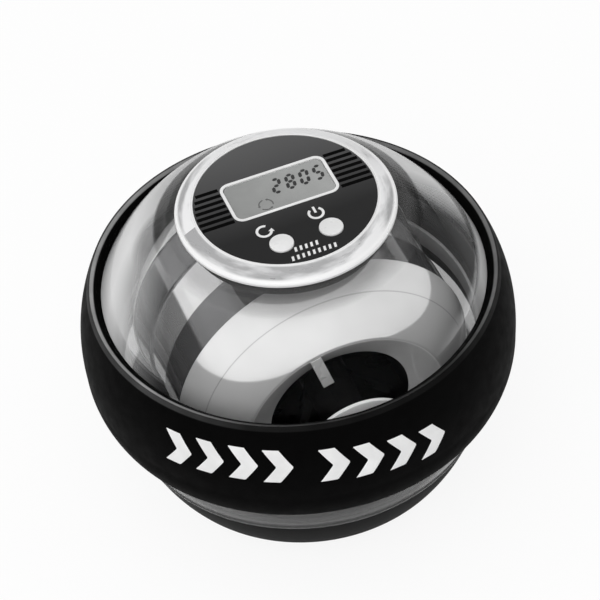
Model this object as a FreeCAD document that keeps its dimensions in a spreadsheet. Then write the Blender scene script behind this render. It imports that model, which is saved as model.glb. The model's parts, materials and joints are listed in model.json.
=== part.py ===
import FreeCAD, Part
import math
import os

import Sketcher

# Gyroscopic wrist ball: a heavy rotor on an axle whose tips run in a track inside a clear shell.
# Heights are measured from the rotor's centre. The body placements lift it onto its foot, so Z = 0
# is the rest face. Front is -Y: the counter reads from there, and the axle points there at rest.

SIZES = {
    # whole ball
    "shell_drop": 1.0,
    "shell_wall": 2.0,
    "fit_gap": 0.05,
    "diagonal_share": 0.7071,
    "half_share": 0.5,
    # lap joint between the two shell halves
    "lap_wall": 1.0,
    "lap_rise": 0.2,
    "lap_bottom": 3.0,
    # races
    "race_back": 1.3,
    "race_flange": 0.9,
    "race_slope_rise": 2.6,
    "race_slope_width": 1.6,
    "race_top_rise": 1.9,
    "channel_depth": 1.4,
    # neck of the upper shell
    "neck_flare": 1.9,
    "neck_wall": 1.1,
    "neck_rise": 0.5686,
    "neck_lip": 0.3,
    "neck_cove": 0.22,
    # lower shell and foot
    "seat_overlap": 0.7,
    "waist_inset": 1.4,
    "waist_step": 0.8,
    "bead_drop": 8.7,
    "bead_half": 0.45,
    "bead_rise": 0.35,
    "base_mid_drop": 4.6,
    "base_mid_inset": 0.2,
    "base_edge_drop": 9.1,
    "base_edge_width": 0.6,
    "base_low_width": 0.3,
    "cup_wall": 2.0,
    "foot_inner": 17.2,
    "foot_width": 5.3,
    "foot_step": 0.4736,
    "foot_height": 1.5,
    "foot_lip": 1.3,
    "foot_bevel": 0.6,
    # rubber band: its widths are measured out from the shell's sphere
    "band_top": 14.9,
    "band_bottom": 4.7,
    "band_lip_width": 1.0,
    "band_lip_rise": 0.4,
    "band_rim_width": 2.1,
    "band_rim_round": 0.12,
    "band_upper_width": 2.05,
    "band_upper_drop": 7.4,
    "band_middle_width": 1.5223,
    "band_middle": 0.25,
    "band_lower_width": 1.328,
    "band_lower_lift": 2.3,
    "band_foot_width": 0.746,
    # guide ring and axle
    "tip_radius": 1.0,
    "tip_round": 0.3,
    "tip_reach": 0.7,
    "track_gap": 0.08,
    "bush_gap": 0.06,
    "bush_wall": 0.39,
    "bush_rim": 0.35,
    "bush_flange": 0.3,
    "ring_margin": 0.05,
    "ring_gap": 0.15,
    "ring_thickness": 1.5,
    "ring_side_gap": 0.3,
    "rotor_gap": 1.3494,
    "axle_step": 0.5,
    "axle_shoulder_gap": 1.1,
    # rotor, out from the axle
    "boss_wall": 2.5,
    "recess_width": 8.1,
    "weight_cover": 1.9,
    "weight_thickness": 7.4,
    "jacket_wall": 1.5,
    "belt_thickness": 2.0,
    "drum_step": 0.4,
    "dome_step": 0.4,
    "dome_mid_inset": 0.95,
    "crease_inset": 2.4,
    "slope_inset": 2.4,
    "mouth_inset": 3.2,
    "mouth_lip": 0.45,
    # rotor, along the axle
    "belt_half": 4.0,
    "drum_length": 7.3,
    "dome_ledge": 0.2,
    "dome_mid_rise": 2.5,
    "crease_rise": 5.0,
    "slope_rise": 2.75,
    "mouth_rise": 2.15,
    "cone_depth": 2.95,
    "weight_half": 7.9,
    "floor_wall": 1.1,
    "boss_length": 3.0,
    "string_hole_radius": 1.2,
    # hubs
    "hub_flare": 6.7,
    "hub_face_gap": 0.45,
    "hub_face_rim": 0.9,
    "hub_bulge_drop": 0.3,
    "hub_bulge_inset": 4.5,
    "hub_rim_drop": 1.05,
    "hub_edge": 0.5,
    "hub_neck": 0.8,
    # ribs
    "rib_half": 0.95,
    "rib_reach": 2.2,
    "rib_inset": 0.35,
    "rib_sink": 0.05,
    "rib_thickness": 1.85,
    "rib_phase": 15.0,
    # rotor screws and drum plugs
    "rotor_screw_gap": 2.25,
    "rotor_screw_phase": 45.0,
    "rotor_screw_radius": 1.0,
    "rotor_screw_head": 1.75,
    "rotor_screw_head_height": 1.1,
    "rotor_screw_end": 5.5,
    "drive_radius": 0.7,
    "drive_depth": 0.6,
    "magnet_radius": 1.5,
    "magnet_inset": 3.6,
    "magnet_sink": 0.2,
    "magnet_length": 2.2,
    # lock screws through the lap
    "lock_radius": 0.6,
    "lock_inset": 0.95,
    "lock_depth": 0.4,
    "lock_sink": 0.3,
    # counter, up from the rotor
    "housing_clearance": 0.6,
    "housing_floor": 0.8,
    "cell_height": 1.6,
    "contact_rise": 0.2,
    "board_sink": 0.4,
    "board_thickness": 0.6,
    "strip_height": 0.4,
    "lcd_thickness": 0.8,
    "ledge_gap": 0.2,
    "ledge_thickness": 0.7,
    "face_thickness": 0.9,
    "gasket_height": 0.3,
    "gasket_overhang": 0.2,
    # bezel
    "bezel_overhang": 0.35,
    "bezel_edge": 0.5,
    "bezel_round_inset": 0.15,
    "bezel_round_drop": 0.2,
    "bezel_shoulder_inset": 0.6,
    "bezel_bevel_drop": 1.15,
    "bezel_crest_width": 0.3,
    "bezel_crest_rise": 0.2,
    "bezel_crest_round": 0.08,
    "ledge_width": 0.7,
    # housing, door and cell
    "housing_gap": 0.1,
    "housing_wall": 1.1,
    "housing_margin": 0.5,
    "board_gap": 0.1,
    "cell_radius": 6.25,
    "cell_step": 0.5,
    "cell_step_height": 0.4,
    "door_margin": 0.75,
    "door_rim": 0.7,
    "door_flange": 0.4,
    "door_slot_half": 2.6,
    "door_slot_width": 0.9,
    "door_slot_depth": 0.3,
    "board_screw_inset": 0.1,
    "board_screw_radius": 0.6,
    "board_screw_head": 1.0,
    "board_screw_head_height": 0.45,
    "post_radius": 1.4,
    "contact_radius": 3.2,
    "contact_bore": 1.2,
    "tab_half": 1.5,
    "tab_thickness": 0.25,
    "reed_radius": 0.7,
    "reed_half": 3.4,
    "reed_clearance": 1.9,
    "chip_side": 3.6,
    "chip_height": 0.9,
    "chip_clearance": 0.9,
    # display and face
    "window_half_width": 8.5,
    "window_half_depth": 4.1,
    "window_corner": 1.2,
    "window_centre": 2.45,
    "lcd_side_margin": 0.5,
    "lcd_end_margin": 0.7,
    "strip_end": 0.5,
    "strip_width": 0.9,
    "strip_inset": 0.2,
    "frame_width": 0.5,
    "frame_depth": 0.35,
    "frame_proud": 0.06,
    "lens_sink": 0.1,
    "stripe_pitch": 1.3,
    "stripe_width": 0.65,
    "stripe_depth": 0.15,
    "stripe_first": 1.775,
    "stripe_clearance": 0.4,
    "stripe_margin": 0.5,
    "stripe_spare": 0.15,
    # buttons
    "button_radius": 1.95,
    "button_gap": 0.08,
    "button_spread": 4.17,
    "button_inset": 5.45,
    "button_proud": 0.3,
    "button_dome": 0.2,
    "button_rim": 0.5,
    "button_flange": 0.35,
    "snap_inset": 0.25,
    "snap_height": 0.18,
}

COUNTS = {
    "lock_screws": 3,
    "ribs": 3,
    "rotor_screws": 3,
    "board_screws": 3,
    "stripes": 7,
}

doc = FreeCAD.newDocument("GyroscopicWristBall")
sheet = doc.addObject("Spreadsheet::Sheet", "Sizes")
for row, (alias, number) in enumerate(SIZES.items(), start=1):
    sheet.set("A%d" % row, alias)
    sheet.set("B%d" % row, str(number))
    sheet.setAlias("B%d" % row, alias)
doc.recompute()


class Size:
    """A number together with the sheet expression that gives it."""

    def __init__(self, value, text):
        self.value = value
        self.text = text

    def _join(self, sign, other, value):
        return Size(value, "(%s %s %s)" % (self.text, sign, other.text))

    def __add__(self, other):
        other = as_size(other)
        return self._join("+", other, self.value + other.value)

    def __sub__(self, other):
        other = as_size(other)
        return self._join("-", other, self.value - other.value)

    def __mul__(self, other):
        other = as_size(other)
        return self._join("*", other, self.value * other.value)

    def __truediv__(self, other):
        other = as_size(other)
        return self._join("/", other, self.value / other.value)

    def __neg__(self):
        return Size(-self.value, "(0 - %s)" % self.text)

    def root(self):
        return Size(math.sqrt(self.value), "sqrt(%s)" % self.text)


def as_size(number):
    return number if isinstance(number, Size) else Size(float(number), str(number))


FOLLOWERS = {}


def size(alias):
    """The sheet's value with this alias."""
    if alias in FOLLOWERS:
        return FOLLOWERS[alias]
    return Size(float(SIZES[alias]), "Sizes.%s" % alias)


def follow(alias, result):
    """Adds a value to the sheet that is worked out from others there."""
    row = len(SIZES) + len(FOLLOWERS) + 1
    sheet.set("A%d" % row, alias)
    sheet.set("B%d" % row, "=" + result.text.replace("Sizes.", ""))
    sheet.setAlias("B%d" % row, alias)
    FOLLOWERS[alias] = Size(result.value, "Sizes.%s" % alias)
    return FOLLOWERS[alias]


ZERO = Size(0.0, "0")
HALF = size("half_share")


def on_sphere(radius, height):
    """Distance from the Z axis of a shell sphere's surface at this height."""
    from_middle = height + size("shell_drop")
    return (radius * radius - from_middle * from_middle).root()


def sphere_height(radius, distance):
    """Height of a shell sphere's upper surface at this distance from the Z axis."""
    return (radius * radius - distance * distance).root() - size("shell_drop")


def add_rotor_values():
    """Radii out from the axle, and places along it from the belt and back from the guide ring."""
    follow("axle_radius", size("tip_radius") + size("axle_step"))
    follow("boss_radius", size("axle_radius") + size("boss_wall"))
    follow("throat_radius", size("boss_radius") + size("recess_width"))
    follow("weight_bore", size("throat_radius") + size("weight_cover"))
    follow("weight_radius", size("weight_bore") + size("weight_thickness"))
    follow("belt_bore", size("weight_radius") + size("jacket_wall"))
    follow("belt_radius", size("belt_bore") + size("belt_thickness"))
    follow("drum_radius", size("belt_radius") + size("drum_step"))
    follow("dome_edge_radius", size("drum_radius") + size("dome_step"))
    follow("dome_mid_radius", size("dome_edge_radius") - size("dome_mid_inset"))
    follow("crease_radius", size("dome_edge_radius") - size("crease_inset"))
    follow("slope_radius", size("crease_radius") - size("slope_inset"))
    follow("mouth_radius", size("slope_radius") - size("mouth_inset"))
    follow("drum_half", size("belt_half") + size("drum_length"))
    follow("dome_edge", size("drum_half") + size("dome_ledge"))
    follow("dome_mid", size("dome_edge") + size("dome_mid_rise"))
    follow("crease", size("dome_edge") + size("crease_rise"))
    follow("slope", size("crease") + size("slope_rise"))
    follow("mouth", size("slope") + size("mouth_rise"))
    follow("throat", size("mouth") - size("cone_depth"))
    follow("floor_depth", size("weight_half") + size("floor_wall"))
    follow("boss_end", size("floor_depth") + size("boss_length"))
    follow("rib_inner", size("throat_radius") - size("rib_reach"))
    follow("rib_outer", size("mouth_radius") - size("mouth_lip") - size("rib_inset"))
    follow("rib_front", size("mouth") - size("rib_sink"))
    follow("rib_back", size("throat") - size("rib_thickness"))
    follow("rotor_screw_circle",
           size("boss_radius") + size("rotor_screw_head") + size("rotor_screw_gap"))
    follow("magnet_place", size("belt_half") + size("magnet_inset"))
    follow("magnet_top", size("drum_radius") - size("magnet_sink"))


def add_ring_values():
    """The guide ring clears the rotor's crease, and the races and the shell go round the ring."""
    crease = size("crease_radius") * size("crease_radius") + size("crease") * size("crease")
    follow("ring_inner", crease.root() + size("rotor_gap"))
    follow("ring_outer", size("ring_inner") + size("ring_thickness"))
    follow("bush_radius", size("tip_radius") + size("bush_gap") + size("bush_wall"))
    follow("bush_flange_radius", size("bush_radius") + size("bush_rim"))
    follow("channel_half", size("bush_flange_radius") + size("ring_margin") + size("ring_gap"))
    follow("channel_outer", size("ring_outer") + size("ring_side_gap"))
    follow("race_inner", size("channel_outer") - size("channel_depth"))
    follow("race_outer", size("channel_outer") + size("race_back"))
    follow("race_slope_height", size("channel_half") + size("race_slope_rise"))
    follow("race_top_inner", size("race_inner") + size("race_slope_width"))
    follow("race_height", size("race_slope_height") + size("race_top_rise"))
    follow("shell_radius", size("race_outer") + size("shell_wall"))
    follow("lap_radius", size("shell_radius") - size("lap_wall"))
    follow("lap_top", size("channel_half") + size("lap_rise"))
    follow("lock_height", size("lap_bottom") - size("lock_inset"))
    follow("lock_inner", size("channel_outer") + size("lock_depth"))
    follow("lock_outer", size("shell_radius") - size("lock_sink"))
    follow("tip_end", size("channel_outer") + size("tip_reach"))
    follow("axle_shoulder", size("ring_inner") - size("axle_shoulder_gap"))
    follow("hub_radius", size("boss_radius") + size("hub_flare"))
    follow("hub_face_radius", size("axle_radius") + size("hub_face_rim"))
    follow("hub_bulge_radius", size("hub_radius") - size("hub_bulge_inset"))
    follow("hub_face", size("axle_shoulder") - size("hub_face_gap"))
    follow("hub_bulge", size("hub_face") - size("hub_bulge_drop"))
    follow("hub_rim", size("hub_face") - size("hub_rim_drop"))
    follow("hub_back", size("hub_rim") - size("hub_edge"))
    follow("hub_waist", size("hub_back") - size("hub_neck"))


def add_foot_and_band_values():
    """The foot and the bead on the lower shell, and the band's places."""
    follow("foot_outer", size("foot_inner") + size("foot_width"))
    seat = size("foot_outer") - size("foot_step")
    radius = size("shell_radius")
    follow("foot_seat", (radius * radius - seat * seat).root() + size("shell_drop"))
    follow("centre_height", size("foot_seat") + size("foot_height"))
    follow("waist_radius", size("shell_radius") - size("waist_inset"))
    follow("seat_end", size("band_bottom") + size("seat_overlap"))
    follow("waist_top", size("seat_end") + size("waist_step"))
    follow("bead_height", size("band_bottom") + size("bead_drop"))
    follow("base_mid", size("bead_height") + size("base_mid_drop"))
    follow("base_edge", size("bead_height") + size("base_edge_drop"))
    follow("band_upper_height", size("band_top") - size("band_upper_drop"))
    follow("band_lower_height", size("band_bottom") - size("band_lower_lift"))


def add_counter_values():
    """The counter is stacked up from above the rotor, and the neck is where its stack needs it."""
    follow("housing_bottom", size("dome_edge_radius") + size("housing_clearance"))
    follow("board_bottom", size("housing_bottom") + size("housing_floor")
           + size("cell_height") + size("contact_rise"))
    follow("board_top", size("board_bottom") + size("board_thickness"))
    follow("neck_top", size("board_bottom") + size("board_sink") - size("gasket_height"))
    follow("neck_base", size("neck_top") - size("neck_lip"))
    follow("neck_foot_radius",
           on_sphere(size("shell_radius"), size("neck_base") - size("neck_rise")))
    follow("neck_radius", size("neck_foot_radius") - size("neck_flare"))
    follow("neck_bore", size("neck_radius") - size("neck_wall"))
    follow("housing_radius", size("neck_bore") - size("housing_gap"))
    follow("housing_bore", size("housing_radius") - size("housing_wall"))
    follow("board_radius", size("housing_bore") - size("board_gap"))
    follow("face_radius", size("housing_bore") - size("housing_margin"))
    follow("gasket_radius", size("neck_radius") + size("gasket_overhang"))
    follow("lcd_bottom", size("board_top") + size("strip_height"))
    follow("bezel_ledge_bottom", size("board_top") + size("ledge_gap"))
    follow("face_bottom", size("bezel_ledge_bottom") + size("ledge_thickness"))
    follow("face_top", size("face_bottom") + size("face_thickness"))
    follow("bezel_radius", size("neck_radius") + size("bezel_overhang"))
    follow("bezel_round_radius", size("bezel_radius") - size("bezel_round_inset"))
    follow("bezel_shoulder_radius", size("bezel_radius") - size("bezel_shoulder_inset"))
    follow("bezel_bore", size("face_radius") + size("fit_gap"))
    follow("bezel_crest_radius", size("bezel_bore") + size("bezel_crest_width"))
    follow("bezel_ledge_radius", size("face_radius") - size("ledge_width"))
    follow("bezel_crest", size("face_top") + size("bezel_crest_rise"))
    follow("bezel_inner_edge", size("bezel_crest") - size("bezel_crest_round"))
    follow("bezel_shoulder", size("bezel_crest") - size("bezel_bevel_drop"))
    follow("bezel_round", size("bezel_shoulder") - size("bezel_round_drop"))
    follow("door_radius", size("cell_radius") + size("door_margin"))
    follow("door_flange_radius", size("door_radius") + size("door_rim"))
    follow("board_screw_circle", size("bezel_ledge_radius") - size("board_screw_head")
           - size("board_screw_inset"))
    follow("reed_place", size("door_flange_radius") + size("reed_clearance"))
    follow("chip_place", size("door_flange_radius") + size("chip_clearance")
           + size("chip_side") * HALF)
    follow("lcd_half_width", size("window_half_width") + size("lcd_side_margin"))
    follow("lcd_half_depth", size("window_half_depth") + size("lcd_end_margin"))
    follow("strip_half", size("lcd_half_width") - size("strip_end"))
    follow("stripe_inner",
           size("window_half_width") + size("frame_width") + size("stripe_clearance"))
    follow("stripe_outer", size("face_radius") - size("stripe_margin"))
    follow("button_back", size("face_radius") - size("button_inset"))
    follow("button_flange_radius", size("button_radius") + size("button_rim"))
    follow("snap_radius", size("button_flange_radius") - size("snap_inset"))


add_rotor_values()
add_ring_values()
add_foot_and_band_values()
add_counter_values()
doc.recompute()
MIDDLE = size("centre_height")


# Sketch helpers

def new_body(label):
    body = doc.addObject("PartDesign::Body", label)
    body.Label = label
    if hasattr(body, "AllowCompound"):
        body.AllowCompound = True
    return body


def origin_part(body, role):
    for feature in body.Origin.OriginFeatures:
        if feature.Role == role:
            return feature
    raise ValueError(role)


def new_sketch(body, plane, offset=None):
    """A sketch on one of the body's origin planes, moved along the plane's normal by offset."""
    sketch = body.newObject("Sketcher::SketchObject", body.Name + "_sketch")
    sketch.AttachmentSupport = [(origin_part(body, plane), "")]
    sketch.MapMode = "FlatFace"
    if offset is not None:
        sketch.setExpression("AttachmentOffset.Base.z", offset.text)
    return sketch


def bind(sketch, constraint, expression):
    """Adds a constraint whose value comes from the sheet."""
    index = sketch.addConstraint(constraint)
    if expression.text == "0":
        return
    name = "size_%d" % index
    sketch.renameConstraint(index, name)
    sketch.setExpression("Constraints." + name, expression.text)


def bind_point(sketch, geometry, end, x, y):
    bind(sketch, Sketcher.Constraint("DistanceX", -1, 1, geometry, end, x.value), x)
    bind(sketch, Sketcher.Constraint("DistanceY", -1, 1, geometry, end, y.value), y)


def vector(x, y):
    return FreeCAD.Vector(x.value, y.value, 0)


def ends_of(sketch, geometry, start):
    """The geometry's start and end numbers, in the order of the outline."""
    first = sketch.getPoint(geometry, 1)
    second = sketch.getPoint(geometry, 2)
    return (1, 2) if (first - start).Length < (second - start).Length else (2, 1)


def outline(sketch, corners):
    """A closed outline. A corner is (x, y), or (x, y, via_x, via_y) where an arc leaves it."""
    edges = []
    for number, corner in enumerate(corners):
        following = corners[(number + 1) % len(corners)]
        start = vector(*corner[:2])
        end = vector(*following[:2])
        if len(corner) == 4:
            curve = Part.Arc(start, vector(*corner[2:]), end)
        else:
            curve = Part.LineSegment(start, end)
        index = sketch.addGeometry(curve, False)
        edges.append((index, ends_of(sketch, index, start)))
    for number, (index, ends) in enumerate(edges):
        last, last_ends = edges[number - 1]
        sketch.addConstraint(Sketcher.Constraint("Coincident", last, last_ends[1], index, ends[0]))
    for corner, (index, ends) in zip(corners, edges):
        bind_point(sketch, index, ends[0], corner[0], corner[1])
        if len(corner) == 4:
            point = sketch.addGeometry(Part.Point(vector(*corner[2:])), True)
            bind_point(sketch, point, 1, corner[2], corner[3])
            sketch.addConstraint(Sketcher.Constraint("PointOnObject", point, 1, index))


def circle(sketch, x, y, radius):
    middle = vector(x, y)
    ring = Part.Circle(middle, FreeCAD.Vector(0, 0, 1), radius.value)
    index = sketch.addGeometry(ring, False)
    bind(sketch, Sketcher.Constraint("Radius", index, radius.value), radius)
    bind_point(sketch, index, 3, x, y)


def rectangle(sketch, left, right, bottom, top):
    outline(sketch, [(left, bottom), (right, bottom), (right, top), (left, top)])


def rounded(sketch, half_width, half_depth, centre, corner):
    """A rectangle with round corners, centred at (0, centre)."""
    inset = corner * (Size(1.0, "1") - size("diagonal_share"))
    left = -half_width
    right = half_width
    low = centre - half_depth
    high = centre + half_depth
    outline(sketch, [
        (left + corner, low),
        (right - corner, low, right - inset, low + inset),
        (right, low + corner),
        (right, high - corner, right - inset, high - inset),
        (right - corner, high),
        (left + corner, high, left + inset, high - inset),
        (left, high - corner),
        (left, low + corner, left + inset, low + inset),
    ])


# Feature helpers

def lift(body):
    """Puts the rotor's centre at its height above the rest face."""
    body.setExpression("Placement.Base.z", MIDDLE.text)


def turn_about_axle(body, degrees):
    """Turns the body about the axle, from +X towards +Z, and lifts it."""
    body.Placement.Rotation = FreeCAD.Rotation(FreeCAD.Vector(0, 1, 0), -degrees.value)
    lift(body)


def turned(label, corners, plane="XZ_Plane"):
    """A body turned about the sketch's upright axis: Z on the XZ plane, Y on the XY plane."""
    body = new_body(label)
    sketch = new_sketch(body, plane)
    outline(sketch, corners)
    feature = body.newObject("PartDesign::Revolution", label + "_turn")
    feature.Profile = sketch
    feature.ReferenceAxis = (sketch, ["V_Axis"])
    feature.Angle = 360
    sketch.Visibility = False
    body.Tip = feature
    lift(body)
    return body


def pad(body, sketch, length):
    doc.recompute()
    feature = body.newObject("PartDesign::Pad", body.Name + "_pad")
    feature.Profile = sketch
    feature.setExpression("Length", length.text)
    sketch.Visibility = False
    body.Tip = feature
    return feature


def pocket(body, sketch, length, along=False):
    """Cuts against the sketch's normal, or along it."""
    doc.recompute()
    feature = body.newObject("PartDesign::Pocket", body.Name + "_pocket")
    feature.Profile = sketch
    feature.setExpression("Length", length.text)
    feature.Reversed = along
    sketch.Visibility = False
    body.Tip = feature
    return feature


def polar(body, feature, count, axis="Z_Axis"):
    doc.recompute()
    pattern = body.newObject("PartDesign::PolarPattern", body.Name + "_pattern")
    pattern.Originals = [feature]
    pattern.Axis = (origin_part(body, axis), [""])
    pattern.Angle = 360
    pattern.Occurrences = count
    body.Tip = pattern
    return pattern


def round_pad(body, plane, offset, x, y, radius, length):
    sketch = new_sketch(body, plane, offset)
    circle(sketch, x, y, radius)
    return pad(body, sketch, length)


def round_pocket(body, plane, offset, x, y, radius, length, along=False):
    sketch = new_sketch(body, plane, offset)
    circle(sketch, x, y, radius)
    return pocket(body, sketch, length, along)


OUTER = size("shell_radius")
INNER = OUTER - size("shell_wall")
TRACK_HALF = size("tip_radius") + size("track_gap")


# Shell

def make_upper_shell():
    lap = size("lap_radius") + size("fit_gap")
    skirt_end = -size("lap_bottom")
    flange_top = size("lap_top") + size("race_flange")
    neck_foot = sphere_height(OUTER, size("neck_foot_radius"))
    dome_mid = neck_foot * HALF
    inner_mid = (sphere_height(INNER, size("neck_bore")) + size("race_height")) * HALF
    cove = (size("neck_foot_radius") + size("neck_radius")) * HALF - size("neck_cove")
    cove_height = (neck_foot + size("neck_base")) * HALF - size("neck_cove") * HALF
    body = turned("upper_shell", [
        (lap, skirt_end),
        (on_sphere(OUTER, skirt_end), skirt_end, on_sphere(OUTER, dome_mid), dome_mid),
        (size("neck_foot_radius"), neck_foot, cove, cove_height),
        (size("neck_radius"), size("neck_base")),
        (size("neck_radius"), size("neck_top")),
        (size("neck_bore"), size("neck_top")),
        (size("neck_bore"), sphere_height(INNER, size("neck_bore")),
         on_sphere(INNER, inner_mid), inner_mid),
        (on_sphere(INNER, size("race_height")), size("race_height")),
        (size("race_outer"), size("race_height")),
        (size("race_outer"), flange_top),
        (lap, flange_top),
    ])
    cut_lock_holes(body)


def make_lower_shell():
    """The lower half: the band's seat, a narrower waist, a bead and a base that swells again."""
    shoulder = -size("lap_bottom")
    seat_end = -size("seat_end")
    waist = size("waist_radius")
    waist_top = -size("waist_top")
    bead_mid = -size("bead_height")
    bead_top = bead_mid + size("bead_half")
    bead_low = bead_mid - size("bead_half")
    base_mid = -size("base_mid")
    base_edge = -size("base_edge")
    seat = -size("foot_seat")
    ledge = -size("race_height")
    seat_mid = (shoulder + seat_end) * HALF
    waist_mid = (waist_top + bead_top) * HALF
    base_low = (base_edge + seat) * HALF
    inner_mid = (ledge + seat) * HALF
    body = turned("lower_shell", [
        (size("race_outer"), size("lap_top")),
        (size("lap_radius"), size("lap_top")),
        (size("lap_radius"), shoulder),
        (on_sphere(OUTER, shoulder), shoulder, on_sphere(OUTER, seat_mid), seat_mid),
        (on_sphere(OUTER, seat_end), seat_end),
        (on_sphere(waist, waist_top), waist_top, on_sphere(waist, waist_mid), waist_mid),
        (on_sphere(waist, bead_top), bead_top,
         on_sphere(waist, bead_mid) + size("bead_rise"), bead_mid),
        (on_sphere(waist, bead_low), bead_low,
         on_sphere(OUTER, base_mid) - size("base_mid_inset"), base_mid),
        (on_sphere(OUTER, base_edge) + size("base_edge_width"), base_edge,
         on_sphere(OUTER, base_low) + size("base_low_width"), base_low),
        (on_sphere(OUTER, seat), seat),
        (on_sphere(INNER, seat), seat,
         on_sphere(INNER, inner_mid) - size("base_mid_inset"), inner_mid),
        (on_sphere(waist - size("cup_wall"), ledge), ledge),
        (size("race_outer"), ledge),
    ])
    cut_lock_holes(body)


def cut_lock_holes(body):
    length = size("lock_outer") + size("shell_wall") - size("lock_inner")
    hole = round_pocket(body, "YZ_Plane", size("lock_inner"), ZERO, -size("lock_height"),
                        size("lock_radius"), length, along=True)
    polar(body, hole, COUNTS["lock_screws"])


def make_lock_screws():
    body = new_body("lock_screws")
    length = size("lock_outer") - size("lock_inner")
    screw = round_pad(body, "YZ_Plane", size("lock_inner"), ZERO, -size("lock_height"),
                      size("lock_radius"), length)
    polar(body, screw, COUNTS["lock_screws"])
    lift(body)


def make_races():
    flange_top = size("lap_top") + size("race_flange")
    turned("upper_race", [
        (size("channel_outer"), TRACK_HALF),
        (size("race_outer"), TRACK_HALF),
        (size("race_outer"), size("lap_top")),
        (size("lap_radius"), size("lap_top")),
        (size("lap_radius"), flange_top),
        (size("race_outer"), flange_top),
        (size("race_outer"), size("race_height")),
        (size("race_top_inner"), size("race_height")),
        (size("race_inner"), size("race_slope_height")),
        (size("race_inner"), size("channel_half")),
        (size("channel_outer"), size("channel_half")),
    ])
    lower = turned("lower_race", [
        (size("channel_outer"), -TRACK_HALF),
        (size("channel_outer"), -size("channel_half")),
        (size("race_inner"), -size("channel_half")),
        (size("race_inner"), -size("race_slope_height")),
        (size("race_top_inner"), -size("race_height")),
        (size("race_outer"), -size("race_height")),
        (size("race_outer"), -TRACK_HALF),
    ])
    cut_lock_holes(lower)


def make_foot_ring():
    seat = -size("foot_seat")
    ground = -MIDDLE
    plug = on_sphere(INNER, seat) - size("fit_gap")
    turned("foot_ring", [
        (plug, seat),
        (size("foot_outer"), seat),
        (size("foot_outer"), ground + size("foot_bevel")),
        (size("foot_outer") - size("foot_bevel"), ground),
        (size("foot_inner") + size("foot_bevel"), ground),
        (size("foot_inner"), ground + size("foot_bevel")),
        (size("foot_inner"), seat + size("foot_lip")),
        (plug, seat + size("foot_lip")),
    ])


def make_grip_band():
    top = size("band_top")
    bottom = -size("band_bottom")
    middle = (top + bottom) * HALF
    upper = size("band_upper_height")
    lower = -size("band_lower_height")
    lip = on_sphere(OUTER, top) + size("band_lip_width")
    rim = on_sphere(OUTER, top) + size("band_rim_width")
    rim_height = top + size("band_lip_rise") * HALF + size("band_rim_round")
    turned("grip_band", [
        (on_sphere(OUTER, bottom), bottom),
        (on_sphere(OUTER, bottom) + size("band_foot_width"), bottom,
         on_sphere(OUTER, lower) + size("band_lower_width"), lower),
        (on_sphere(OUTER, size("band_middle")) + size("band_middle_width"), size("band_middle"),
         on_sphere(OUTER, upper) + size("band_upper_width"), upper),
        (rim, top, (lip + rim) * HALF + size("band_rim_round"), rim_height),
        (lip, top + size("band_lip_rise")),
        (on_sphere(OUTER, top), top, on_sphere(OUTER, middle), middle),
    ])


# Guide ring, axle and rotor

def make_guide_ring():
    half = size("bush_flange_radius") + size("ring_margin")
    ring = turned("guide_ring", [
        (size("ring_inner"), -half),
        (size("ring_outer"), -half),
        (size("ring_outer"), half),
        (size("ring_inner"), half),
    ])
    length = size("ring_outer") * 2
    round_pocket(ring, "XZ_Plane", size("ring_outer"), ZERO, ZERO, size("bush_radius"), length)


def make_axle_bushings():
    body = new_body("axle_bushings")
    bore = size("tip_radius") + size("bush_gap")
    inner = size("ring_inner") - size("bush_flange")
    end = size("ring_outer") - size("bush_gap")
    sketch = new_sketch(body, "XY_Plane")
    outline(sketch, [
        (bore, inner),
        (size("bush_flange_radius"), inner),
        (size("bush_flange_radius"), size("ring_inner") - size("bush_gap")),
        (size("bush_radius"), size("ring_inner") - size("bush_gap")),
        (size("bush_radius"), end),
        (bore, end),
    ])
    feature = body.newObject("PartDesign::Revolution", "axle_bushings_turn")
    feature.Profile = sketch
    feature.ReferenceAxis = (sketch, ["V_Axis"])
    feature.Angle = 360
    sketch.Visibility = False
    body.Tip = feature
    polar(body, feature, 2)
    lift(body)


def make_axle():
    radius = size("axle_radius")
    tip = size("tip_radius")
    shoulder = size("axle_shoulder")
    end = size("tip_end")
    bevel = size("tip_round")
    turned("axle", [
        (ZERO, -end),
        (tip - bevel, -end),
        (tip, bevel - end),
        (tip, -shoulder),
        (radius, -shoulder),
        (radius, shoulder),
        (tip, shoulder),
        (tip, end - bevel),
        (tip - bevel, end),
        (ZERO, end),
    ], "XY_Plane")


def half_profile(side):
    """The rotor half's corners. side is 1 for the rear half and -1 for the front half."""
    def corner(radius, along, *via):
        place = [radius, along * side]
        if via:
            place += [via[0], via[1] * side]
        return tuple(place)

    return [
        corner(size("axle_radius"), ZERO),
        corner(size("weight_bore"), ZERO),
        corner(size("weight_bore"), size("weight_half")),
        corner(size("weight_radius"), size("weight_half")),
        corner(size("weight_radius"), ZERO),
        corner(size("belt_bore"), ZERO),
        corner(size("belt_bore"), size("belt_half")),
        corner(size("drum_radius"), size("belt_half")),
        corner(size("drum_radius"), size("drum_half")),
        corner(size("dome_edge_radius"), size("dome_edge"),
               size("dome_mid_radius"), size("dome_mid")),
        corner(size("crease_radius"), size("crease"), size("slope_radius"), size("slope")),
        corner(size("mouth_radius"), size("mouth")),
        corner(size("mouth_radius") - size("mouth_lip"), size("mouth")),
        corner(size("throat_radius"), size("throat")),
        corner(size("throat_radius"), size("floor_depth")),
        corner(size("boss_radius"), size("floor_depth")),
        corner(size("boss_radius"), size("boss_end")),
        corner(size("axle_radius"), size("boss_end")),
    ]


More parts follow.
